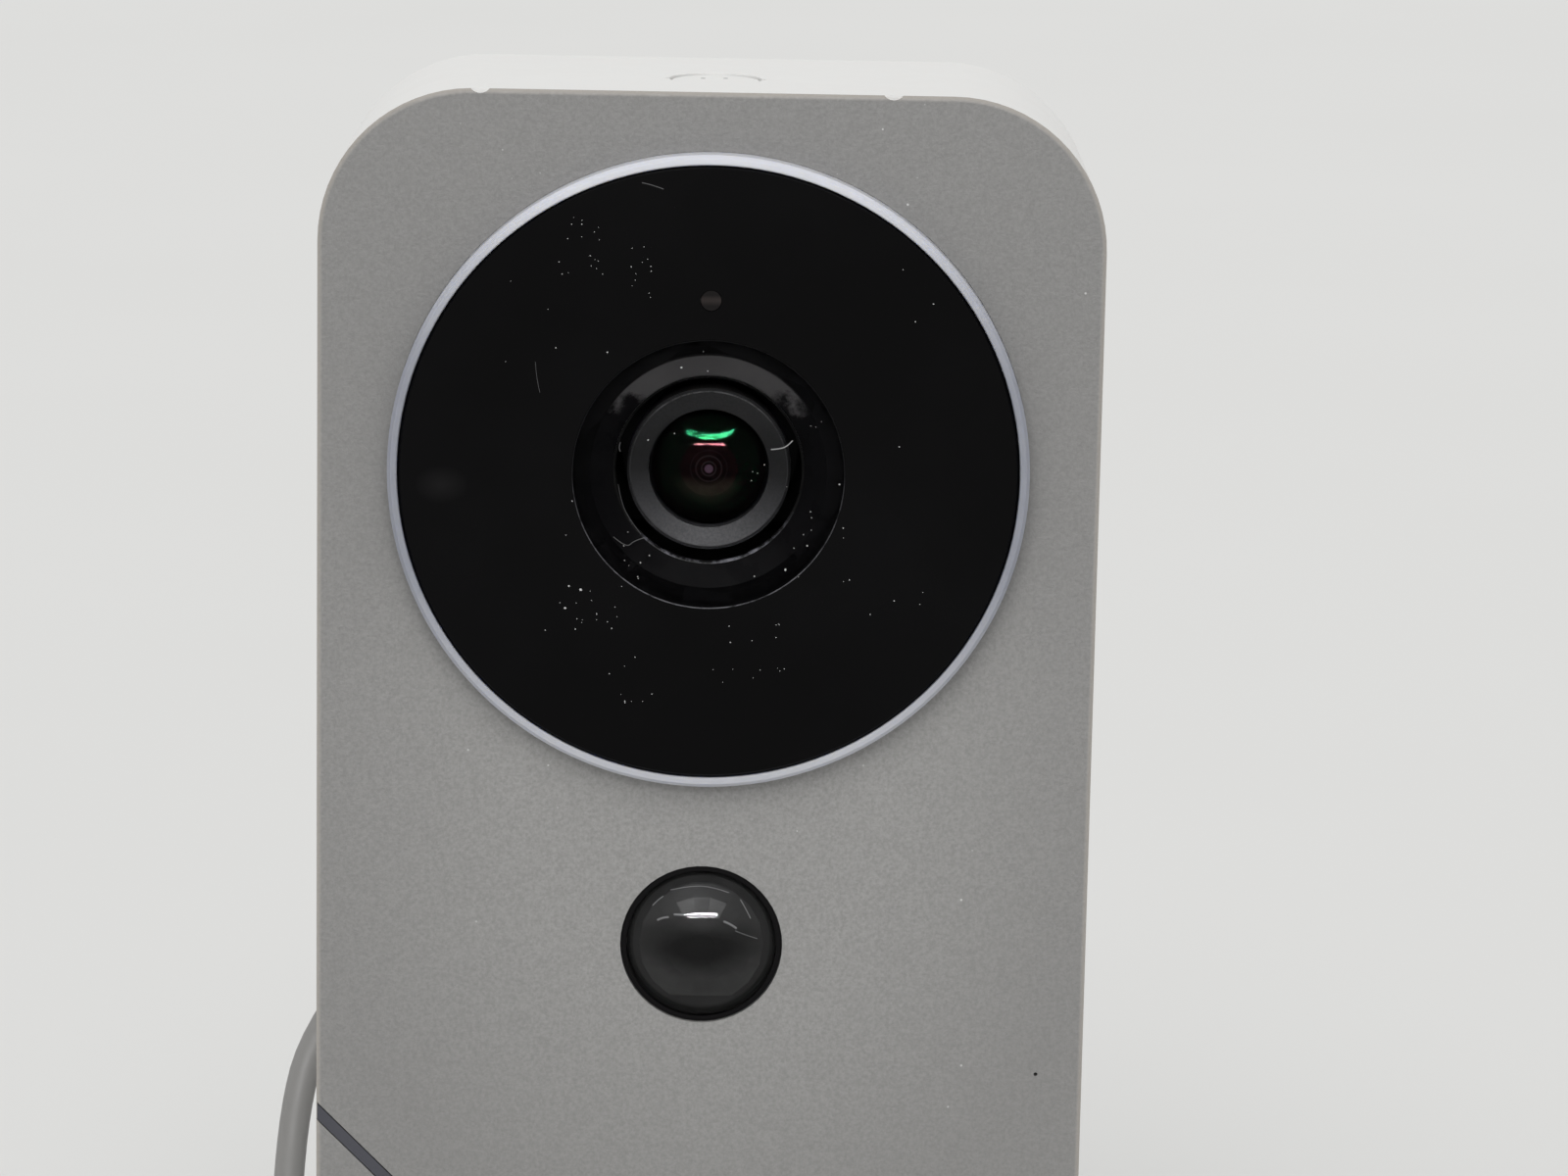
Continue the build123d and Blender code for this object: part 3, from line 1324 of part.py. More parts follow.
NODES = {
    "front_cover": front_cover,
    "rear_housing": rear_housing,
    "cover_glass": cover_glass,
    "lens_window": lens_window,
    "light_ring": light_ring,
    "lens_trim_cone": lens_trim_cone,
    "lens_barrel": lens_barrel,
    "front_lens": front_lens,
    "inner_lenses": inner_lenses,
    "lens_holder": lens_holder,
    "filter_drive": filter_drive,
    "filter_carrier": filter_carrier,
    "cut_filters": cut_filters,
    "image_sensor": image_sensor,
    "sensor_board": sensor_board,
    "ring_light_board": ring_light_board,
    "ring_lamps": ring_lamps,
    "infrared_lamps": infrared_lamps,
    "light_sensor": light_sensor,
    "motion_dome": motion_dome,
    "motion_dome_rim": motion_dome_rim,
    "motion_sensor": motion_sensor,
    "motion_sensor_board": motion_sensor_board,
    "accent_strip": accent_strip,
    "accent_lamps": accent_lamps,
    "inner_frame": inner_frame,
    "frame_screws": frame_screws,
    "main_board": main_board,
    "shield_can": shield_can,
    "heat_spreader": heat_spreader,
    "microphone": microphone,
    "microphone_boot": microphone_boot,
    "antenna": antenna,
    "speaker": speaker,
    "speaker_gasket": speaker_gasket,
    "speaker_grille": speaker_grille,
    "usb_socket": usb_socket,
    "reset_switch": reset_switch,
    "top_button": top_button,
    "button_board": button_board,
    "button_switch": button_switch,
    "pivot_yoke": pivot_yoke,
    "yoke_screws": yoke_screws,
    "hinge_pin": hinge_pin,
    "friction_washers": friction_washers,
    "neck": neck,
    "neck_spacer": neck_spacer,
    "neck_screws": neck_screws,
    "base_shell": base_shell,
    "base_plate": base_plate,
    "base_ballast": base_ballast,
    "base_foot_ring": base_foot_ring,
    "cord_camera_plug": cord_camera_plug,
    "cord_strain_relief": cord_strain_relief,
    "cord_free": lambda: laid_cord("free cord", CORD_ROUTE),
    "cord_coil": cord_coil,
    "cord_tail": lambda: laid_cord("tail", TAIL_ROUTE),
    "cord_tie": cord_tie,
    "cord_usb_plug": cord_usb_plug,
}

os.makedirs("parts", exist_ok=True)
for node, build in NODES.items():
    export_step(build(), os.path.join("parts", node + ".step"))
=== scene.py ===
import bpy
import math
import random
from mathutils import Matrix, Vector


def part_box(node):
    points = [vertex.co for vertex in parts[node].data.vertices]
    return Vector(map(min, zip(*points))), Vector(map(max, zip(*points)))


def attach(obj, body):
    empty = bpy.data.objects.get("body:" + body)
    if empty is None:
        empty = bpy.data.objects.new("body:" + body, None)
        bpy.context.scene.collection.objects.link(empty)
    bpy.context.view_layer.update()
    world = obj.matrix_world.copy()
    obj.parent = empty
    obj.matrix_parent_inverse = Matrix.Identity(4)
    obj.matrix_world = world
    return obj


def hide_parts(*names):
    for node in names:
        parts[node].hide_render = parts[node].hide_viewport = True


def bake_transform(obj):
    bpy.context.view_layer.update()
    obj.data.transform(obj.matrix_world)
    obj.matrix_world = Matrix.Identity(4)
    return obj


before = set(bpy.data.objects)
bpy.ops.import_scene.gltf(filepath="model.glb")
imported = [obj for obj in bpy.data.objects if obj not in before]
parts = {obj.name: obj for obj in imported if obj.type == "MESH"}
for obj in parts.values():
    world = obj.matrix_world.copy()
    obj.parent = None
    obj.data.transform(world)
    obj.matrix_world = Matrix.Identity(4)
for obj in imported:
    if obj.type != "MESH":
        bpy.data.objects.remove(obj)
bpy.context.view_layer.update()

# Places and sizes are in millimetres unless a line says otherwise, and MM is one of them in metres.
# A depth is counted back from the cover's face.
MM = 0.001

# Places on the head, as in the CAD
PIVOT_DEPTH = 16.0
CORNER_R = 13.0
LENS_Z = 106.1
DOME_Z = 64.7
BUTTON_TOP_Z = 137.86
PLUG_Z = 60.0

# The lead, its coil and its far plug
LEAD_R = 1.5
COIL_X, COIL_Y, COIL_Z = 13.0, 66.0, 2.4
COIL_OUT_R, COIL_PITCH, COIL_RISE = 22.625, 4.1, 3.7
COIL_LAYERS, HALF_TURNS_A_LAYER = 4, 5
COIL_TOP_Z = COIL_Z + (COIL_LAYERS - 1) * COIL_RISE
USB_X, USB_Y, USB_Z = -33.0, 77.0, 4.2


def mm(*values):
    """Millimetres to metres."""
    return tuple(value * MM for value in values)


def front(depth):
    """Y of a depth behind the cover's face."""
    return depth - PIVOT_DEPTH


# Camera
bpy.ops.object.select_all(action="DESELECT")
bpy.ops.object.camera_add(
    location=(0.00314, -0.47743, 0.19443),
    rotation=[math.radians(turn) for turn in (77.9671, -1.061, -0.1947)],
)
camera = bpy.context.object
camera.name = "photo_camera"
camera.data.lens = 128.021
camera.data.sensor_width = 36.0
camera.data.clip_start = 0.02
camera.data.clip_end = 50.0
bpy.context.scene.camera = camera


# Cord: free stretch, wound coil and tail as one line
FREE_STRETCH = [
    (0.0, 40.3, PLUG_Z),
    (0.0, 51.3, PLUG_Z),
    (-7.0, 62.0, 58.8),
    (-20.5, 66.2, 54.4),
    (-29.6, 63.4, 45.7),
    (-38.9, 58.3, 34.3),
    (-40.9, 55.0, 26.2),
    (-41.5, 51.8, 12.2),
    (-31.2, 46.7, 2.9),
    (-18.2, 44.5, 2.5),
    (-4.1, COIL_Y - COIL_OUT_R, COIL_Z),
    (10.0, COIL_Y - COIL_OUT_R, COIL_Z),
]
TAIL = [
    (10.0, COIL_Y + COIL_OUT_R, COIL_TOP_Z),
    (0.0, COIL_Y + COIL_OUT_R, COIL_TOP_Z),
    (-12.0, 84.2, 8.6),
    (-23.0, USB_Y, USB_Z),
    (USB_X, USB_Y, USB_Z),
]
POINTS_A_HALF_TURN = 6
COIL_EASE = 1.035


def coil_stops():
    """Radius and height at the end of every half turn, from the outer bottom turn up."""
    stops = [(COIL_OUT_R, COIL_Z)]
    for layer in range(COIL_LAYERS):
        step = -COIL_PITCH / 2 if layer % 2 == 0 else COIL_PITCH / 2
        for _ in range(HALF_TURNS_A_LAYER):
            stops.append((stops[-1][0] + step, stops[-1][1]))
        if layer < COIL_LAYERS - 1:
            stops.append((stops[-1][0], stops[-1][1] + COIL_RISE))
    return stops


def coil_line():
    """Points round the coil, eased out a little because the smooth line runs inside them."""
    stops = coil_stops()
    line = []
    for half, (near, far) in enumerate(zip(stops, stops[1:])):
        for step in range(POINTS_A_HALF_TURN):
            turn = math.pi * step / POINTS_A_HALF_TURN
            share = (1 - math.cos(turn)) / 2
            radius = (near[0] + (far[0] - near[0]) * share) * COIL_EASE
            height = near[1] + (far[1] - near[1]) * share
            angle = math.pi * half + turn
            line.append((COIL_X + radius * math.sin(angle), COIL_Y - radius * math.cos(angle), height))
    return line[1:]


def smooth_curve(name, points):
    """Smooth line through control points."""
    data = bpy.data.curves.new(name, "CURVE")
    data.dimensions = "3D"
    line = data.splines.new("NURBS")
    line.points.add(len(points) - 1)
    for knot, point in zip(line.points, points):
        knot.co = (*mm(*point), 1.0)
    line.order_u = 3
    line.use_endpoint_u = True
    line.resolution_u = 6
    curve = bpy.data.objects.new(name, data)
    bpy.context.scene.collection.objects.link(curve)
    return curve


def thread(name, curve, radius, roundness):
    """Round closed thread along a curve, with its own mesh; the curve is thrown away."""
    curve.data.bevel_depth = radius * MM
    curve.data.bevel_resolution = roundness
    curve.data.use_fill_caps = True
    mesh = bpy.data.meshes.new_from_object(curve)
    bpy.data.objects.remove(curve)
    mesh.name = name
    piece = bpy.data.objects.new(name, mesh)
    bpy.context.scene.collection.objects.link(piece)
    return piece


cord_line = smooth_curve("lead_line", FREE_STRETCH + coil_line() + TAIL)
centreline = bpy.data.meshes.new_from_object(cord_line)
lead = thread("lead", cord_line, LEAD_R, 4)
for face in lead.data.polygons:
    face.use_smooth = True
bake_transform(lead)
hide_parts("cord_free", "cord_coil", "cord_tail")


# Finishes. Nearly all values of a cloud pattern lie in the span, and the cover's painted pool of light is
# brightest at the height set below.
CLOUD_SPAN = (0.3, 0.7)
DEFAULT_GLOSS = 0.5
PAINTED_GLOW_Z = 78.0


def new_finish(name):
    """New finish with its node tree and its shader."""
    finish = bpy.data.materials.new(name)
    finish.use_nodes = True
    return finish, finish.node_tree, finish.node_tree.nodes["Principled BSDF"]


def shade(colour, share):
    """The same colour, darker or lighter."""
    return tuple(min(1.0, part * share) for part in colour)


def maths(tree, operation, *values):
    """One step of arithmetic on numbers or on other steps."""
    step = tree.nodes.new("ShaderNodeMath")
    step.operation = operation
    for socket, value in zip(step.inputs, values):
        if isinstance(value, float):
            socket.default_value = value
        else:
            tree.links.new(value, socket)
    return step.outputs["Value"]


def times(tree, a, b):
    return maths(tree, "MULTIPLY", a, b)


def added(tree, a, b):
    return maths(tree, "ADD", a, b)


def vector_maths(tree, operation, vector, amount=None):
    """One step of vector arithmetic; a length comes out as a number."""
    step = tree.nodes.new("ShaderNodeVectorMath")
    step.operation = operation
    tree.links.new(vector, step.inputs[0])
    if amount is not None:
        step.inputs[1].default_value = amount
    return step.outputs["Value" if operation == "LENGTH" else "Vector"]


def between(tree, value, low, high, left, right):
    """Carries a value's range over to another range and stops at its ends."""
    scale = tree.nodes.new("ShaderNodeMapRange")
    scale.inputs["From Min"].default_value = low
    scale.inputs["From Max"].default_value = high
    scale.inputs["To Min"].default_value = left
    scale.inputs["To Max"].default_value = right
    tree.links.new(value, scale.inputs["Value"])
    return scale.outputs["Result"]


def rise(tree, value, low, high):
    """0 at the first value and 1 at the second, which may also be the lower one."""
    return between(tree, value, low, high, 0.0, 1.0)


def own_place(tree, stretch=(1, 1, 1), turn=(0, 0, 0), shift=(0, 0, 0)):
    """The piece's own coordinates, stretched, turned and shifted."""
    place = tree.nodes.new("ShaderNodeTexCoord")
    fit = tree.nodes.new("ShaderNodeMapping")
    fit.inputs["Location"].default_value = shift
    fit.inputs["Rotation"].default_value = turn
    fit.inputs["Scale"].default_value = stretch
    tree.links.new(place.outputs["Object"], fit.inputs["Vector"])
    return fit.outputs["Vector"]


def on_face(tree, centre_z, centre_x=0.0, wide=1.0, high=1.0):
    """Place on the face in millimetres from a centre, squeezed across or upwards."""
    return own_place(tree, (wide / MM, 0, high / MM), shift=(-wide * centre_x, 0, -high * centre_z))


def distance(tree, centre_z, centre_x=0.0, wide=1.0, high=1.0):
    """Distance on the face from a centre, in millimetres."""
    return vector_maths(tree, "LENGTH", on_face(tree, centre_z, centre_x, wide, high))


def offset(tree, axis, centre_z):
    """Offset on the face from a centre, along X or Z, in millimetres."""
    split = tree.nodes.new("ShaderNodeSeparateXYZ")
    tree.links.new(on_face(tree, centre_z), split.inputs["Vector"])
    return split.outputs[axis]


def corner_distance(tree, name):
    """Distance beyond a rounded rectangle's corner centres; it is CORNER_R all along the edge."""
    low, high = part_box(name)
    across, up = ((high[side] - low[side]) / 2 / MM - CORNER_R for side in (0, 2))
    place = on_face(tree, (low[2] + high[2]) / 2 / MM)
    place = vector_maths(tree, "ABSOLUTE", place)
    place = vector_maths(tree, "SUBTRACT", place, (across, 0, up))
    place = vector_maths(tree, "MAXIMUM", place, (0, 0, 0))
    return vector_maths(tree, "LENGTH", place)


def clouds(tree, scale, detail=3.0, roughness=0.5, stretch=(1, 1, 1)):
    """Cloudy pattern with about this many clouds to a metre."""
    noise = tree.nodes.new("ShaderNodeTexNoise")
    noise.inputs["Scale"].default_value = scale
    noise.inputs["Detail"].default_value = detail
    noise.inputs["Roughness"].default_value = roughness
    tree.links.new(own_place(tree, stretch), noise.inputs["Vector"])
    return noise.outputs["Fac"]


def uneven(tree, least, most, scale, detail=3.0, roughness=0.5):
    """Value that wanders between two limits in patches."""
    return between(tree, clouds(tree, scale, detail, roughness), *CLOUD_SPAN, least, most)


def specks(tree, scale, size):
    """Sharp dots scattered at about one to a cell; 1 in a dot and 0 outside."""
    cells = tree.nodes.new("ShaderNodeTexVoronoi")
    cells.inputs["Scale"].default_value = scale
    tree.links.new(own_place(tree), cells.inputs["Vector"])
    return rise(tree, cells.outputs["Distance"], size, size * 0.6)


def colours(tree, share, first, second):
    """Mixes two colours, each a colour or another mix."""
    mix = tree.nodes.new("ShaderNodeMix")
    mix.data_type = "RGBA"
    tree.links.new(share, mix.inputs["Factor"])
    sockets = [s for s in mix.inputs if s.type == "RGBA"]
    for socket, colour in zip(sockets, (first, second)):
        if isinstance(colour, tuple):
            socket.default_value = (*colour, 1.0)
        else:
            tree.links.new(colour, socket)
    return [s for s in mix.outputs if s.type == "RGBA"][0]


def layered(tree, ground, *layers):
    """Lays colours over a ground one after another, each with its share."""
    for share, colour in layers:
        ground = colours(tree, share, ground, colour)
    return ground


def dress(tree, shader, tone, rough, gloss=DEFAULT_GLOSS):
    """Gives a shader its tone, its roughness and the strength of its reflection."""
    tree.links.new(tone, shader.inputs["Base Color"])
    tree.links.new(rough, shader.inputs["Roughness"])
    shader.inputs["Specular IOR Level"].default_value = gloss


def seen_into(shader, weight, radius):
    """Lets light spread inside the plastic; the radius for each colour is in metres."""
    shader.inputs["Subsurface Weight"].default_value = weight
    shader.inputs["Subsurface Radius"].default_value = radius
    shader.inputs["Subsurface Scale"].default_value = 1.0


def raised(tree, shader, height, depth, strength=1.0):
    """Surface relief of the given depth in millimetres."""
    relief = tree.nodes.new("ShaderNodeBump")
    relief.inputs["Strength"].default_value = strength
    relief.inputs["Distance"].default_value = depth * MM
    tree.links.new(height, relief.inputs["Height"])
    tree.links.new(relief.outputs["Normal"], shader.inputs["Normal"])


def moulded(name, colour, rough, grain=2500.0, depth=0.02, vary=0.04, gloss=DEFAULT_GLOSS):
    """Moulded plastic, rubber, paint or dust: faint mottling, grained relief and uneven sheen."""
    finish, tree, shader = new_finish(name)
    tone = colours(tree, clouds(tree, 60.0), shade(colour, 1 - vary), shade(colour, 1 + vary))
    dress(tree, shader, tone, uneven(tree, rough - 0.05, rough + 0.05, 300.0), gloss)
    raised(tree, shader, clouds(tree, grain, 2.0), depth, 0.35)
    return finish


def metal(name, colour, rough, stretch=(1, 1, 1), scale=900.0, depth=0.01):
    """Bare or plated metal with fine drawn or rolled lines."""
    finish, tree, shader = new_finish(name)
    lines = clouds(tree, scale, 4.0, 0.6, stretch)
    sheen = between(tree, lines, 0.2, 0.8, rough - 0.08, rough + 0.1)
    dress(tree, shader, colours(tree, lines, shade(colour, 0.86), colour), sheen)
    shader.inputs["Metallic"].default_value = 1.0
    raised(tree, shader, lines, depth, 0.3)
    return finish


def woven(name, colour, pitch=1100.0):
    """Woven strap or cloth: two crossing waves of thread."""
    finish, tree, shader = new_finish(name)
    threads = []
    for turn in ((0, 0, 0), (0, math.pi / 2, math.pi / 2)):
        wave = tree.nodes.new("ShaderNodeTexWave")
        wave.inputs["Scale"].default_value = pitch / 6
        wave.inputs["Distortion"].default_value = 0.6
        tree.links.new(own_place(tree, turn=turn), wave.inputs["Vector"])
        threads.append(wave.outputs["Fac"])
    cloth = times(tree, threads[0], threads[1])
    dress(tree, shader, colours(tree, cloth, shade(colour, 0.5), colour), uneven(tree, 0.8, 0.95, 800.0))
    shader.inputs["Sheen Weight"].default_value = 0.3
    raised(tree, shader, cloth, 0.12, 0.8)
    return finish


def clear_pane(name, tone):
    """Clear glass inside the head, with a faint film on it."""
    finish, tree, shader = new_finish(name)
    film = clouds(tree, 400.0)
    rough = between(tree, film, 0.4, 0.8, 0.0, 0.02)
    dress(tree, shader, colours(tree, film, shade(tone, 0.96), tone), rough)
    shader.inputs["Transmission Weight"].default_value = 1.0
    shader.inputs["IOR"].default_value = 1.5
    return finish


def thin_pane(name, tone, least, most, gloss, rough=0.02, ripple=0.0):
    """Thin clear or smoked pane; its film covers what is behind it by at least and at most so much."""
    finish, tree, shader = new_finish(name)
    film = clouds(tree, 300.0, 4.0, 0.6)
    sheen = between(tree, film, 0.4, 0.8, rough, rough + 0.03)
    dress(tree, shader, colours(tree, film, shade(tone, 0.7), tone), sheen, gloss)
    tree.links.new(between(tree, film, *CLOUD_SPAN, least, most), shader.inputs["Alpha"])
    if ripple:
        raised(tree, shader, clouds(tree, 900.0, 2.0), ripple)
    return finish


def cover_moulding():
    """Matt grey front moulding: eroded grain, a painted glow in its middle, painted shade above and a warm
    painted highlight along its rim.
    """
    finish, tree, shader = new_finish("cover_moulding")
    grain = clouds(tree, 3600.0, 3.0, 0.65)
    patches = between(tree, clouds(tree, 90.0), 0.5, 0.6, 0.0, 0.8)
    tone = layered(
        tree, (0.222, 0.2185, 0.213),
        (clouds(tree, 45.0, 4.0), (0.242, 0.2385, 0.2325)),
        # Painted pool of light: the cover lighter round the motion dome, under the lens ring.
        (between(tree, distance(tree, PAINTED_GLOW_Z, high=0.8), 34.0, 16.0, 0.0, 0.7), (0.310, 0.306, 0.298)),
        (between(tree, grain, 0.32, 0.68, 0.0, 0.55), (0.158, 0.156, 0.152)),
        # Painted shade: the cover darkens towards its top.
        (between(tree, offset(tree, "Z", LENS_Z), -20.0, 14.0, 0.0, 0.36), (0.150, 0.148, 0.144)),
        # Painted highlight: a warm lighter band along the rounded rim, where the edge catches the light.
        (
            between(tree, corner_distance(tree, "front_cover"), CORNER_R - 0.45, CORNER_R - 0.05, 0.0, 0.8),
            (0.40, 0.37, 0.335),
        ),
        (times(tree, specks(tree, 420.0, 0.05), patches), (0.60, 0.60, 0.59)),
    )
    dress(tree, shader, tone, between(tree, grain, *CLOUD_SPAN, 0.58, 0.72), 0.35)
    raised(tree, shader, grain, 0.05, 0.7)
    return finish


def shell_moulding():
    """Satin white housing."""
    finish, tree, shader = new_finish("shell_moulding")
    tone = colours(tree, clouds(tree, 30.0), (0.745, 0.742, 0.728), (0.775, 0.772, 0.760))
    dress(tree, shader, tone, uneven(tree, 0.34, 0.44, 200.0))
    seen_into(shader, 0.08, (0.0012, 0.001, 0.0009))
    raised(tree, shader, clouds(tree, 2200.0, 2.0), 0.012, 0.3)
    return finish


def face_glass():
    """Gloss black printed glass with a faint film and a dim painted reflection at its left."""
    finish, tree, shader = new_finish("face_glass")
    film = clouds(tree, 35.0, 4.0, 0.55)
    # Painted reflection: a dim lighter area on the glass to the left of the lens.
    reach = distance(tree, LENS_Z - 1.2, -22.4, wide=0.7)
    painted_reflection = times(tree, rise(tree, reach, 1.6, 0.2), between(tree, film, 0.3, 0.6, 0.4, 1.0))
    tone = layered(
        tree, (0.0012, 0.0011, 0.0013),
        (rise(tree, film, 0.45, 0.75), (0.0028, 0.0027, 0.0031)),
        (painted_reflection, (0.0085, 0.0080, 0.0085)),
    )
    dress(tree, shader, tone, between(tree, film, 0.4, 0.8, 0.05, 0.16), 0.07)
    raised(tree, shader, clouds(tree, 25.0, 1.0), 0.002, 0.1)
    return finish


def ring_moulding():
    """Milky light guide, bluish, with painted light: palest at its top, lighter at its bottom and darkest at
    its sides.
    """
    finish, tree, shader = new_finish("ring_moulding")
    height = offset(tree, "Z", LENS_Z)
    # Painted light: the guide is darkest at its sides and lighter towards its top and bottom, palest at the
    # top.
    ends = between(tree, maths(tree, "ABSOLUTE", height), 8.0, 24.0, 0.0, 0.9)
    lit_ends_and_mottle = added(tree, ends, times(tree, clouds(tree, 80.0), 0.12))
    painted_light_tone = colours(tree, rise(tree, height, 6.0, 23.0), (0.470, 0.478, 0.515), (0.640, 0.650, 0.700))
    dress(tree, shader, colours(tree, lit_ends_and_mottle, (0.240, 0.250, 0.290), painted_light_tone), uneven(tree, 0.28, 0.38, 500.0))
    seen_into(shader, 0.5, (0.0008, 0.0009, 0.0012))
    raised(tree, shader, clouds(tree, 1500.0, 2.0), 0.01, 0.2)
    return finish


def funnel_moulding():
    """Satin black funnel with a painted grey reflection high on its slope, smudged at its ends."""
    finish, tree, shader = new_finish("funnel_moulding")
    reach = distance(tree, LENS_Z)
    height = added(tree, offset(tree, "Z", LENS_Z), uneven(tree, -1.6, 1.6, 420.0, 5.0, 0.7))
    slope = times(tree, rise(tree, reach, 7.92, 8.02), rise(tree, reach, 9.98, 9.86))
    # Painted reflection: the grey band high on the funnel's slope.
    haze = times(tree, slope, rise(tree, height, 5.2, 6.6))
    tone = colours(tree, haze, (0.0030, 0.0029, 0.0034), (0.062, 0.060, 0.062))
    dress(tree, shader, tone, uneven(tree, 0.22, 0.40, 350.0, 4.0), 0.02)
    raised(tree, shader, clouds(tree, 1200.0), 0.01, 0.4)
    return finish


def barrel_finish():
    """Fine black anodising with painted light: darkest at its sides, a little lighter at its top and painted
    grey on its lower half.
    """
    finish, tree, shader = new_finish("barrel_anodised")
    grain = clouds(tree, 5000.0, 2.0)
    height = added(tree, offset(tree, "Z", LENS_Z), uneven(tree, -0.8, 0.8, 120.0))
    tone = layered(
        tree, (0.0120, 0.0120, 0.0128),
        # Painted light: lighter at the top and lighter still on the lower half, darkest at the sides.
        (rise(tree, height, 1.0, 5.5), (0.0235, 0.0235, 0.0245)),
        (rise(tree, height, -0.8, -6.0), (0.058, 0.058, 0.064)),
        (between(tree, grain, *CLOUD_SPAN, 0.0, 0.3), (0.006, 0.006, 0.006)),
    )
    dress(tree, shader, tone, between(tree, grain, *CLOUD_SPAN, 0.38, 0.52), 0.07)
    raised(tree, shader, grain, 0.008, 0.45)
    return finish


def edge_glint(name, dull, bright, high, low, patchy):
    """Edge round the lens with a painted highlight that comes in between two heights, broken into streaks."""
    finish, tree, shader = new_finish(name)
    streaks = rise(tree, clouds(tree, 800.0, 4.0, 0.7), patchy, patchy + 0.2)
    share = times(tree, streaks, rise(tree, offset(tree, "Z", LENS_Z), high, low))
    dress(tree, shader, colours(tree, share, dull, bright), uneven(tree, 0.25, 0.4, 500.0), 0.08)
    return finish


def stack_element():
    """Inner lens stack: painted violet reflection in its middle, fine rings round it, painted olive
    reflection below, rose coating.
    """
    finish, tree, shader = new_finish("stack_element")
    reach = distance(tree, LENS_Z)
    waves = maths(tree, "SINE", times(tree, reach, 13.0))
    rings = times(tree, between(tree, waves, 0.2, 1.0, 0.0, 0.8), rise(tree, reach, 1.7, 1.3))
    # Painted reflection: an olive tint low in the lens.
    painted_olive_reflection = times(tree, rise(tree, reach, 1.0, 1.6), rise(tree, offset(tree, "Z", LENS_Z), -0.6, -1.6))
    tone = layered(
        tree, (0.0022, 0.0015, 0.0016),
        (rings, (0.0170, 0.0155, 0.0165)),
        (times(tree, painted_olive_reflection, uneven(tree, 0.6, 1.0, 900.0)), (0.0235, 0.0225, 0.0165)),
        # Painted reflection: a violet spot in the middle of the lens.
        (rise(tree, reach, 0.42, 0.30), (0.062, 0.040, 0.058)),
    )
    dress(tree, shader, tone, uneven(tree, 0.02, 0.04, 700.0), 0.07)
    shader.inputs["Specular Tint"].default_value = (1.0, 0.32, 0.38, 1.0)
    return finish


def coated_element():
    """Outer lens element: dark in its barrel, painted olive reflection below, green coating."""
    finish, tree, shader = new_finish("green_coating")
    haze = clouds(tree, 700.0)
    low = rise(tree, offset(tree, "Z", LENS_Z), -0.6, -1.6)
    # Painted reflection: an olive tint low in the lens.
    painted_olive_reflection = times(tree, low, rise(tree, distance(tree, LENS_Z), 3.4, 2.4))
    core = (0.0032, 0.0022, 0.0024)
    tone = layered(tree, shade(core, 0.6), (haze, core), (painted_olive_reflection, (0.0125, 0.0120, 0.0090)))
    dress(tree, shader, tone, between(tree, haze, *CLOUD_SPAN, 0.02, 0.04), 0.045)
    shader.inputs["Specular Tint"].default_value = (0.10, 1.0, 0.42, 1.0)
    return finish


def panel_moulding():
    """Panelled lens under the dome: dark middle, lighter panels round it, and painted light making the upper
    middle brightest.
    """
    finish, tree, shader = new_finish("panel_moulding")
    haze = clouds(tree, 260.0, 4.0, 0.6)
    outer = rise(tree, distance(tree, DOME_Z, wide=0.42), 1.0, 2.9)
    aside = maths(tree, "ABSOLUTE", offset(tree, "X", DOME_Z))
    # Painted light: the upper middle panels lighter, fading towards the sides.
    above = rise(tree, offset(tree, "Z", DOME_Z), 1.4, 4.4)
    tone = layered(
        tree, (0.006, 0.006, 0.006),
        (times(tree, outer, between(tree, haze, 0.2, 0.8, 0.7, 1.1)), (0.200, 0.200, 0.201)),
        (times(tree, above, between(tree, aside, 2.7, 0.5, 0.25, 1.0)), (0.270, 0.270, 0.277)),
    )
    dress(tree, shader, tone, between(tree, haze, *CLOUD_SPAN, 0.16, 0.30), 0.15)
    raised(tree, shader, clouds(tree, 700.0, 2.0), 0.02, 0.4)
    return finish


def sensor_dome():
    """Small smoky brown dome with a painted highlight band across its middle."""
    finish, tree, shader = new_finish("sensor_dome")
    low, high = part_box("light_sensor")
    height = offset(tree, "Z", (low[2] + high[2]) / 2 / MM)
    # Painted highlight: a lighter band across the middle of the dome.
    band = times(tree, rise(tree, height, -0.45, -0.05), rise(tree, height, 0.45, 0.15))
    tone = colours(tree, band, (0.0062, 0.0050, 0.0050), (0.0235, 0.0185, 0.0175))
    dress(tree, shader, tone, uneven(tree, 0.14, 0.24, 900.0), 0.12)
    return finish


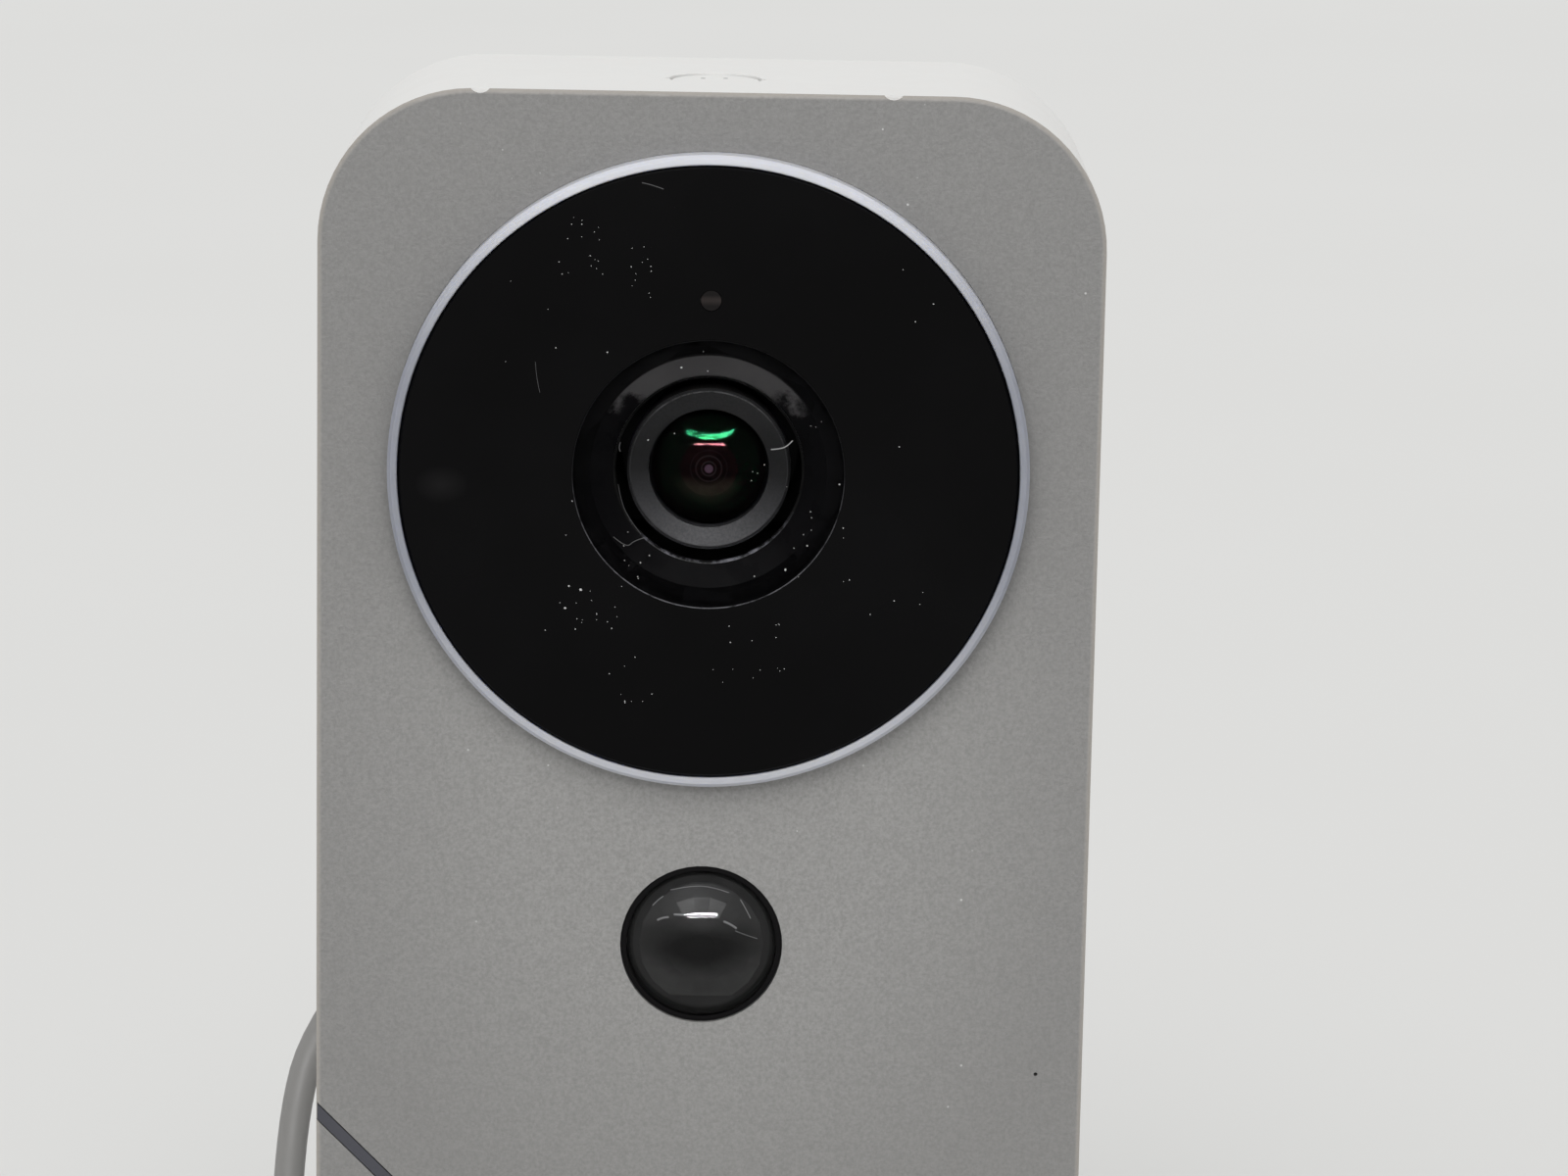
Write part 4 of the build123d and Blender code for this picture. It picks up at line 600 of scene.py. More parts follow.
# After name, colour and roughness, a moulding has its grain, the grain's depth, how far its tone
# varies and its gloss, and a metal has the stretch, scale and depth of its lines.
NEAR_BLACK = (0.0001, 0.0001, 0.0001)
FINISHES = {
    "cover_grey": cover_moulding(),
    "shell_white": shell_moulding(),
    "black_glass": face_glass(),
    "clear_glass": thin_pane("window_glass", NEAR_BLACK, 0.02, 0.07, 0.0),
    "ring_white": ring_moulding(),
    "trim_black": funnel_moulding(),
    "barrel_black": barrel_finish(),
    "lens_glass": clear_pane("lens_pane", (0.9, 0.95, 0.93)),
    "filter_glass": clear_pane("filter_pane", (0.75, 0.88, 0.9)),
    "board_green": moulded("board_lacquer", (0.03, 0.12, 0.06), 0.3, 700.0, 0.02, 0.25),
    "tin": metal("tinned_sheet", (0.62, 0.62, 0.61), 0.28),
    "steel": metal("zinc_steel", (0.46, 0.46, 0.47), 0.32),
    "chip_black": moulded("chip_body", (0.03, 0.03, 0.034), 0.5, 3000.0, 0.02),
    "lamp_white": moulded("lamp_body", (0.80, 0.78, 0.58), 0.3, 1500.0, 0.01),
    "lamp_dark": moulded("dark_lamp_body", (0.05, 0.03, 0.05), 0.15, 1500.0, 0.005),
    "dome_smoke": moulded("dome_moulding", (0.012, 0.012, 0.013), 0.25, 2500.0, 0.004, 0.1, 0.4),
    "strip_smoke": moulded("strip_moulding", (0.055, 0.056, 0.069), 0.22, 1200.0, 0.006, 0.12, 0.45),
    "frame_black": moulded("frame_moulding", (0.03, 0.03, 0.03), 0.5),
    "aluminium": metal("aluminium_sheet", (0.72, 0.72, 0.73), 0.35, (1, 1, 12)),
    "soft_black": moulded("black_rubber", (0.028, 0.028, 0.028), 0.75, 1800.0, 0.03),
    "cord_grey": moulded("lead_jacket", (0.235, 0.231, 0.225), 0.5, 1600.0, 0.02, 0.06, 0.3),
    "foot_silicone": moulded("foot_silicone", (0.26, 0.26, 0.26), 0.62, 1400.0, 0.03, 0.06),
    "winding": metal("copper_winding", (0.72, 0.38, 0.20), 0.35, (1, 1, 6), 2500.0, 0.05),
    "speaker_black": moulded("speaker_cone", (0.035, 0.035, 0.036), 0.8, 1500.0, 0.05),
}

SLOT_OF = {
    "cover_grey": ["front_cover"],
    "shell_white": ["rear_housing", "top_button", "neck", "base_shell", "speaker_grille"],
    "black_glass": ["cover_glass"],
    "clear_glass": ["lens_window"],
    "ring_white": ["light_ring"],
    "trim_black": ["lens_trim_cone"],
    "barrel_black": ["lens_barrel"],
    "lens_glass": ["front_lens", "inner_lenses"],
    "filter_glass": ["cut_filters"],
    "board_green": [
        "sensor_board", "ring_light_board", "motion_sensor_board", "main_board", "button_board", "antenna",
    ],
    "tin": ["shield_can", "usb_socket", "motion_sensor"],
    "steel": ["frame_screws", "yoke_screws", "hinge_pin", "neck_screws", "base_ballast", "pivot_yoke"],
    "chip_black": ["image_sensor", "microphone", "reset_switch", "button_switch"],
    "lamp_white": ["ring_lamps", "accent_lamps"],
    "lamp_dark": ["infrared_lamps", "light_sensor"],
    "dome_smoke": ["motion_dome", "motion_dome_rim"],
    "strip_smoke": ["accent_strip"],
    "frame_black": ["lens_holder", "filter_carrier", "inner_frame", "base_plate", "neck_spacer"],
    "aluminium": ["heat_spreader"],
    "soft_black": ["microphone_boot", "speaker_gasket", "friction_washers", "cord_tie"],
    "cord_grey": [
        "cord_camera_plug", "cord_strain_relief", "cord_usb_plug", "cord_free", "cord_coil", "cord_tail",
    ],
    "foot_silicone": ["base_foot_ring"],
    "winding": ["filter_drive"],
    "speaker_black": ["speaker"],
}

unfinished = sorted(set(parts) - {name for names in SLOT_OF.values() for name in names})
if unfinished:
    raise ValueError(f"no finish for {unfinished}")
for slot, names in SLOT_OF.items():
    for name in names:
        parts[name].data.materials.clear()
        parts[name].data.materials.append(FINISHES[slot])
lead.data.materials.append(FINISHES["cord_grey"])

# The board and the holder behind the lens are painted near black as painted shade deep inside the head, as
# nothing of them shows in the photograph
SHADE_BLACK = moulded("painted_shade_black", (0.004, 0.004, 0.004), 0.4, 700.0, 0.02, 0.25, 0.1)
OWN_FINISHES = {
    "motion_dome_rim": moulded("rim_moulding", (0.0030, 0.0026, 0.0030), 0.5, 2500.0, 0.004, 0.1, 0.05),
    "sensor_board": SHADE_BLACK,
    "lens_holder": SHADE_BLACK,
    "light_sensor": sensor_dome(),
    "cord_tie": woven("strap_cloth", (0.030, 0.030, 0.031)),
}
for name, finish in OWN_FINISHES.items():
    parts[name].data.materials[0] = finish


# Modelling helpers
def clear_selection():
    """Leaves edit mode and selects nothing."""
    if bpy.context.object and bpy.context.object.mode != "OBJECT":
        bpy.ops.object.mode_set(mode="OBJECT")
    bpy.ops.object.select_all(action="DESELECT")


def pick(piece):
    """Selects one piece alone and makes it the active one."""
    clear_selection()
    piece.select_set(True)
    bpy.context.view_layer.objects.active = piece


def settle(piece, name, finish, body, smooth=35.0):
    """Ends a piece: place into its mesh, smooth shading up to an angle, finish, slot and body."""
    pick(piece)
    bpy.ops.object.transform_apply(location=True, rotation=True, scale=True)
    if smooth:
        bpy.ops.object.shade_smooth_by_angle(angle=math.radians(smooth))
    piece.name = name
    piece.data.name = name
    piece.data.materials.clear()
    piece.data.materials.append(finish)
    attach(piece, body)
    piece.select_set(False)
    return piece


# For each axis: the way outwards from it, and the way along it
AXES = {"X": ((0, 0, 1), (1, 0, 0)), "Y": ((1, 0, 0), (0, 1, 0)), "Z": ((1, 0, 0), (0, 0, 1))}


def spun(corners, centre, axis="Y", steps=96):
    """Turned piece; corners are (radius, distance along the axis) from the centre."""
    outward, along = AXES[axis]
    clear_selection()
    radius, reach = corners[0]
    start = [c + radius * o + reach * a for c, o, a in zip(centre, outward, along)]
    bpy.ops.mesh.primitive_plane_add(size=MM, location=mm(*start))
    piece = bpy.context.object
    bpy.ops.object.mode_set(mode="EDIT")
    bpy.ops.mesh.select_mode(type="VERT")
    bpy.ops.mesh.select_all(action="SELECT")
    bpy.ops.mesh.merge(type="CENTER")
    for (r0, d0), (r1, d1) in zip(corners, corners[1:]):
        move = [(r1 - r0) * o + (d1 - d0) * a for o, a in zip(outward, along)]
        bpy.ops.mesh.extrude_vertices_move(
            MESH_OT_extrude_verts_indiv={"mirror": False},
            TRANSFORM_OT_translate={"value": mm(*move)},
        )
    bpy.ops.mesh.select_all(action="SELECT")
    bpy.ops.mesh.spin(steps=steps, angle=2 * math.pi, center=mm(*centre), axis=along)
    bpy.ops.mesh.select_all(action="SELECT")
    bpy.ops.mesh.remove_doubles(threshold=2e-6)
    bpy.ops.mesh.normals_make_consistent(inside=False)
    bpy.ops.object.mode_set(mode="OBJECT")
    return piece


def turned(corners, centre_z, steps=96):
    """Turned piece in the face; corners are (radius, depth)."""
    return spun([(radius, front(depth)) for radius, depth in corners], (0, 0, centre_z), "Y", steps)


def block(low, high, rounding, segments=3):
    """Box between two corners, every edge rounded."""
    clear_selection()
    size = [b - a for a, b in zip(low, high)]
    middle = [(a + b) / 2 for a, b in zip(low, high)]
    bpy.ops.mesh.primitive_cube_add(size=1, location=mm(*middle), scale=mm(*size))
    piece = bpy.context.object
    bpy.ops.object.transform_apply(location=True, rotation=True, scale=True)
    if rounding:
        bpy.ops.object.mode_set(mode="EDIT")
        bpy.ops.mesh.select_all(action="SELECT")
        bpy.ops.mesh.bevel(offset=rounding * MM, segments=segments, affect="EDGES")
        bpy.ops.object.mode_set(mode="OBJECT")
    return piece


def drawn_in(piece, facing, reach, scale, about):
    """Extrudes the end that faces one way by a reach and draws it in."""
    pick(piece)
    bpy.ops.object.mode_set(mode="EDIT")
    bpy.ops.mesh.select_mode(type="FACE")
    bpy.ops.mesh.select_all(action="DESELECT")
    bpy.ops.object.mode_set(mode="OBJECT")
    for face in piece.data.polygons:
        face.select = sum(n * f for n, f in zip(face.normal, facing)) > 0.9
    bpy.ops.object.mode_set(mode="EDIT")
    bpy.ops.mesh.extrude_region_move(TRANSFORM_OT_translate={"value": mm(*(reach * f for f in facing))})
    bpy.ops.transform.resize(value=scale, center_override=mm(*about))
    bpy.ops.object.mode_set(mode="OBJECT")


def rounded(piece, rounding, segments=4, sharper=20.0):
    """Bevels every edge that is sharper than an angle in degrees."""
    pick(piece)
    edge = piece.modifiers.new("edge", "BEVEL")
    edge.width = rounding * MM
    edge.segments = segments
    edge.limit_method = "ANGLE"
    edge.angle_limit = math.radians(sharper)
    bpy.ops.object.modifier_apply(modifier="edge")


def cut(piece, cutter):
    """Takes a cutter out of a piece and throws the cutter away."""
    pick(piece)
    away = piece.modifiers.new("away", "BOOLEAN")
    away.operation = "DIFFERENCE"
    away.object = cutter
    bpy.ops.object.modifier_apply(modifier="away")
    bpy.data.objects.remove(cutter)
    return piece


def joined(pieces):
    """Several pieces made one."""
    clear_selection()
    for piece in pieces:
        piece.select_set(True)
    bpy.context.view_layer.objects.active = pieces[0]
    bpy.ops.object.join()
    return pieces[0]


def copied(piece, shift=(0, 0, 0), turn=(0, 0, 0), scale=1.0):
    """Copy with its own mesh, moved in millimetres and turned in radians."""
    twin = piece.copy()
    twin.data = piece.data.copy()
    twin.location = [a + b for a, b in zip(twin.location, mm(*shift))]
    twin.rotation_euler = turn
    twin.scale = (scale, scale, scale)
    bpy.context.scene.collection.objects.link(twin)
    return twin


# Lens: clear front element over two coated elements whose slopes catch the strip lamp. A slope is
# given by stops, each a radius and the tilt there in degrees.
INNER_R, OUTER_R, FRONT_R = 2.42, 4.85, 5.02
INNER_DEPTH = 0.72
INNER_THICK, OUTER_THICK = 0.4, 0.3
INNER_STOPS = [(0.0, 0.0), (INNER_R, 19.5)]
OUTER_STOPS = [(INNER_R, 16.1), (2.75, 16.9), (3.75, 19.3), (OUTER_R, 24.0)]
FRONT_CROWN_DEPTH, FRONT_SAG = -0.52, 1.26
FRONT_EDGE_BACK, FRONT_MIDDLE_BACK = 0.90, 0.70
FRONT_STEPS = 14


def slope_profile(stops, start_depth, steps=10):
    """Profile whose tilt runs evenly from stop to stop."""
    corners = [(stops[0][0], start_depth)]
    for (r0, t0), (r1, t1) in zip(stops, stops[1:]):
        for step in range(steps):
            tilt = t0 + (t1 - t0) * (step + 0.5) / steps
            radius, depth = corners[-1]
            wide = (r1 - r0) / steps
            corners.append((radius + wide, depth + wide * math.tan(math.radians(tilt))))
    return corners


inner_face = slope_profile(INNER_STOPS, INNER_DEPTH, 20)
seam_depth = inner_face[-1][1]
inner_back = [(INNER_R, seam_depth + INNER_THICK), (0.0, seam_depth + INNER_THICK)]
inner_element = turned(inner_face + inner_back, LENS_Z)
settle(inner_element, "lens_inner_element", stack_element(), "head")

outer_face = slope_profile(OUTER_STOPS, seam_depth)
outer_back_depth = outer_face[-1][1] + OUTER_THICK
outer_back = [(OUTER_R, outer_back_depth), (INNER_R, outer_back_depth), (INNER_R, seam_depth)]
outer_element = turned(outer_face + outer_back, LENS_Z)
settle(outer_element, "lens_outer_element", coated_element(), "head")

front_face = [
    (FRONT_R * step / FRONT_STEPS, FRONT_CROWN_DEPTH + FRONT_SAG * (step / FRONT_STEPS) ** 2)
    for step in range(FRONT_STEPS + 1)
]
front_back = [(FRONT_R, FRONT_EDGE_BACK), (0.0, FRONT_MIDDLE_BACK)]
front_element = turned(front_face + front_back, LENS_Z)
front_coating = thin_pane("front_coating", NEAR_BLACK, 0.02, 0.05, 0.0)
settle(front_element, "lens_front_element", front_coating, "head")
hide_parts("front_lens")


# Fine edges round the lens, each with a painted highlight: name, corners as radius and depth, finish and slot
EDGE_STEPS = 144
LENS_EDGES = (
    (
        "window_rim", [(11.39, -2.06), (11.43, -2.12), (11.47, -2.16), (11.47, -2.02), (11.39, -2.06)],
        edge_glint("window_rim_glint", (0.012, 0.012, 0.013), (0.12, 0.12, 0.13), 1.0, -9.0, 0.35), "black_glass",
    ),
    (
        "glass_lip", [(11.46, -2.13), (11.50, -2.19), (11.80, -2.195), (11.80, -2.10), (11.46, -2.13)],
        FINISHES["black_glass"], "black_glass",
    ),
    (
        "throat_edge", [(7.84, 0.36), (7.95, 0.22), (8.06, 0.18), (8.06, 0.42), (7.84, 0.36)],
        edge_glint("throat_glint", (0.004, 0.004, 0.004), (0.16, 0.16, 0.185), -3.0, -6.6, 0.46), "trim_black",
    ),
    (
        "barrel_edge", [(6.60, 0.45), (6.66, 0.39), (6.71, 0.42), (6.71, 0.55), (6.60, 0.45)],
        edge_glint("barrel_rim_glint", (0.030, 0.030, 0.032), (0.115, 0.115, 0.120), 2.0, 6.0, 0.36),
        "barrel_black",
    ),
)
for name, corners, finish, slot in LENS_EDGES:
    settle(turned(corners, LENS_Z, EDGE_STEPS), name, finish, "head")


# Motion dome: smoked cap over a panelled lens that is cut off straight below
DOME_R, DOME_EDGE, DOME_RISE, DOME_FLATNESS = 6.38, 0.3, 2.7, 2.4
DOME_INNER_R, DOME_INNER_EDGE, DOME_INNER_RISE = 5.75, 0.60, 2.35
DOME_STEPS, DOME_INNER_STEPS = 24, 16
PANEL_RADII = (0.0, 1.3, 2.9, 4.3, 5.35)
PANEL_R, PANEL_EDGE, PANEL_RISE = 6.1, 0.95, 2.30
PANEL_BACK = 0.98
PANEL_FOOT = 4.55
PANEL_SIDES = 18


def dome_depth(share):
    """Depth of the dome's outer face at a share of its radius."""
    return DOME_EDGE - DOME_RISE * (1 - share ** DOME_FLATNESS)


dome_outside = [
    (DOME_R * step / DOME_STEPS, dome_depth(step / DOME_STEPS)) for step in range(DOME_STEPS + 1)
]
inner_shares = [step / DOME_INNER_STEPS for step in range(DOME_INNER_STEPS, -1, -1)]
dome_inside = [
    (DOME_INNER_R * share, DOME_INNER_EDGE - DOME_INNER_RISE * (1 - share ** 2)) for share in inner_shares
]
dome_cap = turned(dome_outside + [(DOME_R, DOME_INNER_EDGE)] + dome_inside, DOME_Z)
smoked_cap = thin_pane("smoked_cap", (0.006, 0.006, 0.006), 0.34, 0.42, 0.23, 0.01, 0.012)
settle(dome_cap, "dome_cap", smoked_cap, "head")
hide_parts("motion_dome")

panel_face = [(radius, PANEL_EDGE - PANEL_RISE * (1 - (radius / PANEL_R) ** 2)) for radius in PANEL_RADII]
panels = turned(panel_face + [(PANEL_RADII[-1], PANEL_BACK), (0.0, PANEL_BACK)], DOME_Z, PANEL_SIDES)
pick(panels)
bpy.ops.object.mode_set(mode="EDIT")
bpy.ops.mesh.select_all(action="SELECT")
bpy.ops.mesh.bisect(
    plane_co=mm(0, 0, DOME_Z - PANEL_FOOT), plane_no=(0, 0, -1), clear_outer=True, use_fill=True,
)
bpy.ops.object.mode_set(mode="OBJECT")
settle(panels, "dome_panels", panel_moulding(), "head", smooth=0)

skirt = turned([(0.0, 1.04), (5.9, 1.04), (5.9, 1.14), (0.0, 1.14)], DOME_Z, 48)
skirt_moulding = moulded("skirt_moulding", (0.115, 0.115, 0.116), 0.4, 1500.0, 0.01, 0.1, 0.1)
settle(skirt, "dome_skirt", skirt_moulding, "head")


# Speaker cloth behind the slots of the grille
grille_low, grille_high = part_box("speaker_grille")
speaker_z = (grille_low[2] + grille_high[2]) / 2 / MM
cloth_disc = turned([(0.0, 28.30), (10.8, 28.30), (10.8, 28.46), (0.0, 28.50)], speaker_z, 48)
speaker_cloth = woven("speaker_cloth", (0.05, 0.05, 0.052), 2400.0)
settle(cloth_disc, "speaker_cloth", speaker_cloth, "head")


# Two small marks on the button
MARK_CORNERS = [(0.0, 0.02), (0.20, 0.02), (0.24, -0.03), (0.0, -0.03)]
marks = [spun(MARK_CORNERS, (x, y, BUTTON_TOP_Z), "Z", 16) for x, y in ((-1.08, -4.77), (0.83, -4.48))]
settle(joined(marks), "button_marks", moulded("mark_print", (0.30, 0.30, 0.30), 0.6), "button")


# Screws under the stand, with cross recesses
SCREW_X = 4.5
SCREW_CORNERS = [
    (0.0, 0.92), (1.35, 0.92), (1.75, 1.05), (1.90, 1.3), (1.90, 1.6),
    (1.0, 1.6), (1.0, 8.2), (0.6, 8.9), (0.0, 8.9),
]
RECESS_LONG, RECESS_WIDE = 1.1, 0.22
RECESS_BELOW, RECESS_TOP = 0.5, 1.4
screws = []
for x in (-SCREW_X, SCREW_X):
    screw = spun(SCREW_CORNERS, (x, 0, 0), "Z", 32)
    for across, along in ((RECESS_LONG, RECESS_WIDE), (RECESS_WIDE, RECESS_LONG)):
        cut(screw, block((x - across, -along, RECESS_BELOW), (x + across, along, RECESS_TOP), 0))
    screws.append(screw)
neck_fixings = settle(joined(screws), "neck_fixings", FINISHES["steel"], "stand")
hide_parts("neck_screws")


# Lead's plug at the camera: tapered ribbed grip and metal tip
GRIP_HALF = 5.3
GROOVE_DEEP = 0.35
grip = block((-GRIP_HALF, 15.3, PLUG_Z - 3.6), (GRIP_HALF, 24.3, PLUG_Z + 3.6), 0)
drawn_in(grip, (0, 1, 0), 3.0, (0.97, 1, 0.95), (0, 27.3, PLUG_Z))
drawn_in(grip, (0, 1, 0), 3.0, (0.76, 1, 0.80), (0, 30.3, PLUG_Z))
rounded(grip, 1.5)
for x in (-GRIP_HALF, GRIP_HALF):
    for row in range(5):
        y = 17.6 + 1.5 * row
        cut(grip, block((x - GROOVE_DEEP, y, PLUG_Z - 2.0), (x + GROOVE_DEEP, y + 0.6, PLUG_Z + 2.0), 0.2, 2))
tip = cut(
    block((-3.4, 12.1, PLUG_Z - 0.9), (3.4, 15.6, PLUG_Z + 0.9), 0.3),
    block((-3.05, 11.0, PLUG_Z - 0.55), (3.05, 14.7, PLUG_Z + 0.55), 0),
)
settle(grip, "camera_plug_grip", FINISHES["cord_grey"], "head")
settle(tip, "camera_plug_tip", FINISHES["tin"], "head")
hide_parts("cord_camera_plug")
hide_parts("cord_camera_plug")


# Lead's far plug: ribbed sleeve, grip with finger grooves, metal shell, tongue and contacts
sleeve_corners = [(0.0, 0.0), (1.85, 0.0)]
for rib in range(4):
    radius = 2.0 + 0.13 * rib
    near = -0.3 - 1.7 * rib
    sleeve_corners += [(radius, near), (radius + 0.02, near - 0.95), (1.78, near - 1.0), (1.78, near - 1.65)]
sleeve_corners += [(2.4, -7.0), (2.4, -7.6), (0.0, -7.6)]
sleeve = spun(sleeve_corners, (USB_X, USB_Y, USB_Z), "X", 40)
settle(sleeve, "usb_sleeve", FINISHES["cord_grey"], "stand")


def bar(near, far, half_wide, half_high, rounding=0.0, segments=3):
    """Bar along X between two ends, about the middle of the far plug."""
    low = (near, USB_Y - half_wide, USB_Z - half_high)
    return block(low, (far, USB_Y + half_wide, USB_Z + half_high), rounding, segments)


USB_GRIP_HALF = 4.1
usb_grip = bar(-60.0, -44.0, 7.8, USB_GRIP_HALF)
drawn_in(usb_grip, (1, 0, 0), 4.0, (1, 0.74, 0.80), (-40.0, USB_Y, USB_Z))
rounded(usb_grip, 1.7)
for z in (USB_Z - USB_GRIP_HALF, USB_Z + USB_GRIP_HALF):
    for row in range(4):
        x = -50.2 + 1.9 * row
        groove = block((x, USB_Y - 4.6, z - GROOVE_DEEP), (x + 0.8, USB_Y + 4.6, z + GROOVE_DEEP), 0.2, 2)
        cut(usb_grip, groove)
settle(usb_grip, "usb_grip", FINISHES["cord_grey"], "stand")

usb_shell = cut(bar(-72.0, -59.6, 6.0, 2.25, 0.35), bar(-73.0, -60.2, 5.6, 1.85))
for y in (USB_Y - 2.9, USB_Y + 2.9):
    for near, far in ((-3.0, -1.2), (1.2, 3.0)):
        cut(usb_shell, block((-66.6, y - 1.15, USB_Z + near), (-64.2, y + 1.15, USB_Z + far), 0))
settle(usb_shell, "usb_shell", FINISHES["tin"], "stand")

tongue = block((-71.0, USB_Y - 5.4, USB_Z - 1.6), (-60.0, USB_Y + 5.4, USB_Z - 0.2), 0.25, 2)
settle(tongue, "usb_tongue", FINISHES["chip_black"], "stand")

contact = block((-70.2, USB_Y - 0.55, USB_Z - 0.25), (-61.5, USB_Y + 0.55, USB_Z - 0.12), 0.05, 1)
contacts = [copied(contact, (0, aside, 0)) for aside in (-3.5, -1.0, 1.0, 3.5)]
bpy.data.objects.remove(contact)
settle(joined(contacts), "usb_contacts", metal("gilt_contact", (0.83, 0.62, 0.28), 0.25), "stand")
for piece_name in ("usb_sleeve", "usb_grip", "usb_shell", "usb_tongue", "usb_contacts"):
    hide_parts("cord_usb_plug")


# Loose end of the coil's strap, laid back over the band
tie_low, tie_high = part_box("cord_tie")
tie_left, tie_right, tie_top = tie_low[0] / MM, tie_high[0] / MM, tie_high[2] / MM
strap_end = block(
    (tie_left + 3.0, COIL_Y - 3.1, tie_top - 0.02), (tie_right - 2.4, COIL_Y + 3.1, tie_top + 0.55), 0.25,
)
settle(strap_end, "strap_end", FINISHES["soft_black"], "stand")


# Dust on the glass and the window: flakes, one hair and thin smears, each lying on the face
random.seed(41)
GLASS_Y = front(-2.2)
WINDOW_Y = front(-2.1)
WINDOW_R = 11.3
STRAND_PROUD = 0.02
FLAKE_SHAPE = (1.0, 0.35, 0.8)
FLAKE_SIZES = (0.07, 0.08, 0.09, 0.11, 0.13)

# Left, right, bottom and top of a field from the lens axis, and the number of flakes in it
FLAKE_FIELDS = (
    (-12.8, -7.7, 19.5, 21.6, 9), (-12.8, -9.0, 16.8, 18.6, 9), (-6.9, -4.4, 13.8, 19.4, 12),
    (-12.5, -7.0, -13.5, -9.5, 16), (-8.5, -4.0, -20.5, -15.5, 8), (0.5, 6.7, -18.3, -12.5, 14),
    (-20.0, 20.0, -16.0, 20.0, 22), (3.4, 4.8, -0.6, 1.4, 4), (8.4, 9.6, 3.8, 4.8, 3),
    (-7.2, -4.6, -9.4, -4.8, 6), (8.0, 9.8, -6.2, -2.4, 4), (10.8, 12.2, -9.0, -4.0, 4),
)

# Place from the lens axis, across and up, and size of the larger flakes
LARGE_FLAKES = (
    (-2.4, 9.1, 0.20), (-8.6, 10.3, 0.16), (-5.1, 2.9, 0.16), (-2.9, 3.5, 0.12), (6.6, -8.0, 0.24),
    (11.0, -0.6, 0.18), (8.4, -5.9, 0.17), (4.0, -8.6, 0.14), (-11.4, -2.4, 0.12), (-5.6, -7.6, 0.14),
    (-11.6, -9.7, 0.20), (-10.6, -10.0, 0.28), (-11.9, -11.6, 0.24), (-12.9, 10.6, 0.13),
)

clear_selection()
bpy.ops.mesh.primitive_ico_sphere_add(subdivisions=1, radius=0.5 * MM, scale=FLAKE_SHAPE)
flake = bpy.context.object
bpy.ops.object.transform_apply(location=True, rotation=True, scale=True)


def flake_at(x, z, size):
    """Flake of a size, turned at random, at a place from the lens axis."""
    y = WINDOW_Y if math.hypot(x, z) < WINDOW_R else GLASS_Y
    return copied(flake, (x, y, LENS_Z + z), (0, random.uniform(0, 3.1), 0), size)


flakes = []
for left, right, bottom, top, count in FLAKE_FIELDS:
    for _ in range(count):
        x, z = random.uniform(left, right), random.uniform(bottom, top)
        flakes.append(flake_at(x, z, random.choice(FLAKE_SIZES)))
for x, z, size in LARGE_FLAKES:
    flakes.append(flake_at(x, z, size))
bpy.data.objects.remove(flake)
dust_finish = moulded("dust", (0.50, 0.50, 0.50), 0.9, 9000.0)
settle(joined(flakes), "glass_dust", dust_finish, "head", smooth=0)


def strand(points, radius):
    """Thin round thread through points."""
    return thread("strand", smooth_curve("strand", points), radius, 1)


def on_glass(points, radius):
    """Thin thread on the glass through points from the lens axis."""
    return strand([(x, GLASS_Y - STRAND_PROUD, LENS_Z + z) for x, z in points], radius)


hair = on_glass([(5.2, 2.3), (5.9, 2.35), (6.6, 2.6), (7.0, 3.1)], 0.05)
lint = moulded("lint", (0.30, 0.30, 0.30), 0.9, 9000.0)
settle(hair, "glass_hairs", lint, "head", smooth=0)

smears = [
    on_glass([(-7.55, -0.9), (-7.3, -2.4), (-6.5, -4.0), (-5.6, -5.1)], 0.022),
    on_glass([(-7.9, -5.4), (-7.3, -5.9), (-6.6, -6.2), (-6.2, -5.7), (-5.2, -5.4)], 0.035),
    on_glass([(-14.6, 9.4), (-14.5, 8.0), (-14.2, 6.8)], 0.02),
    on_glass([(-7.4, 2.7), (-7.6, 2.2), (-7.4, 1.9)], 0.04),
    on_glass([(-5.9, 24.6), (-5.2, 24.5), (-4.1, 24.1)], 0.04),
]
grease = moulded("grease", (0.046, 0.046, 0.048), 0.8, 9000.0, 0.02, 0.5)
settle(joined(smears), "glass_smears", grease, "head", smooth=0)


# Painted glints: bright threads close under the dome that stand for highlights on the panels' edges
GLINT_UNDER = 0.32
GLINT_UP = 0.4


def glint(points, radius):
    """Thin thread that follows the dome's face a little behind it, through points from its axis."""
    line = []
    for x, z in points:
        depth = dome_depth(math.hypot(x, z) / DOME_R) + GLINT_UNDER
        line.append((x, front(depth), DOME_Z + z + GLINT_UP))
    return strand(line, radius)


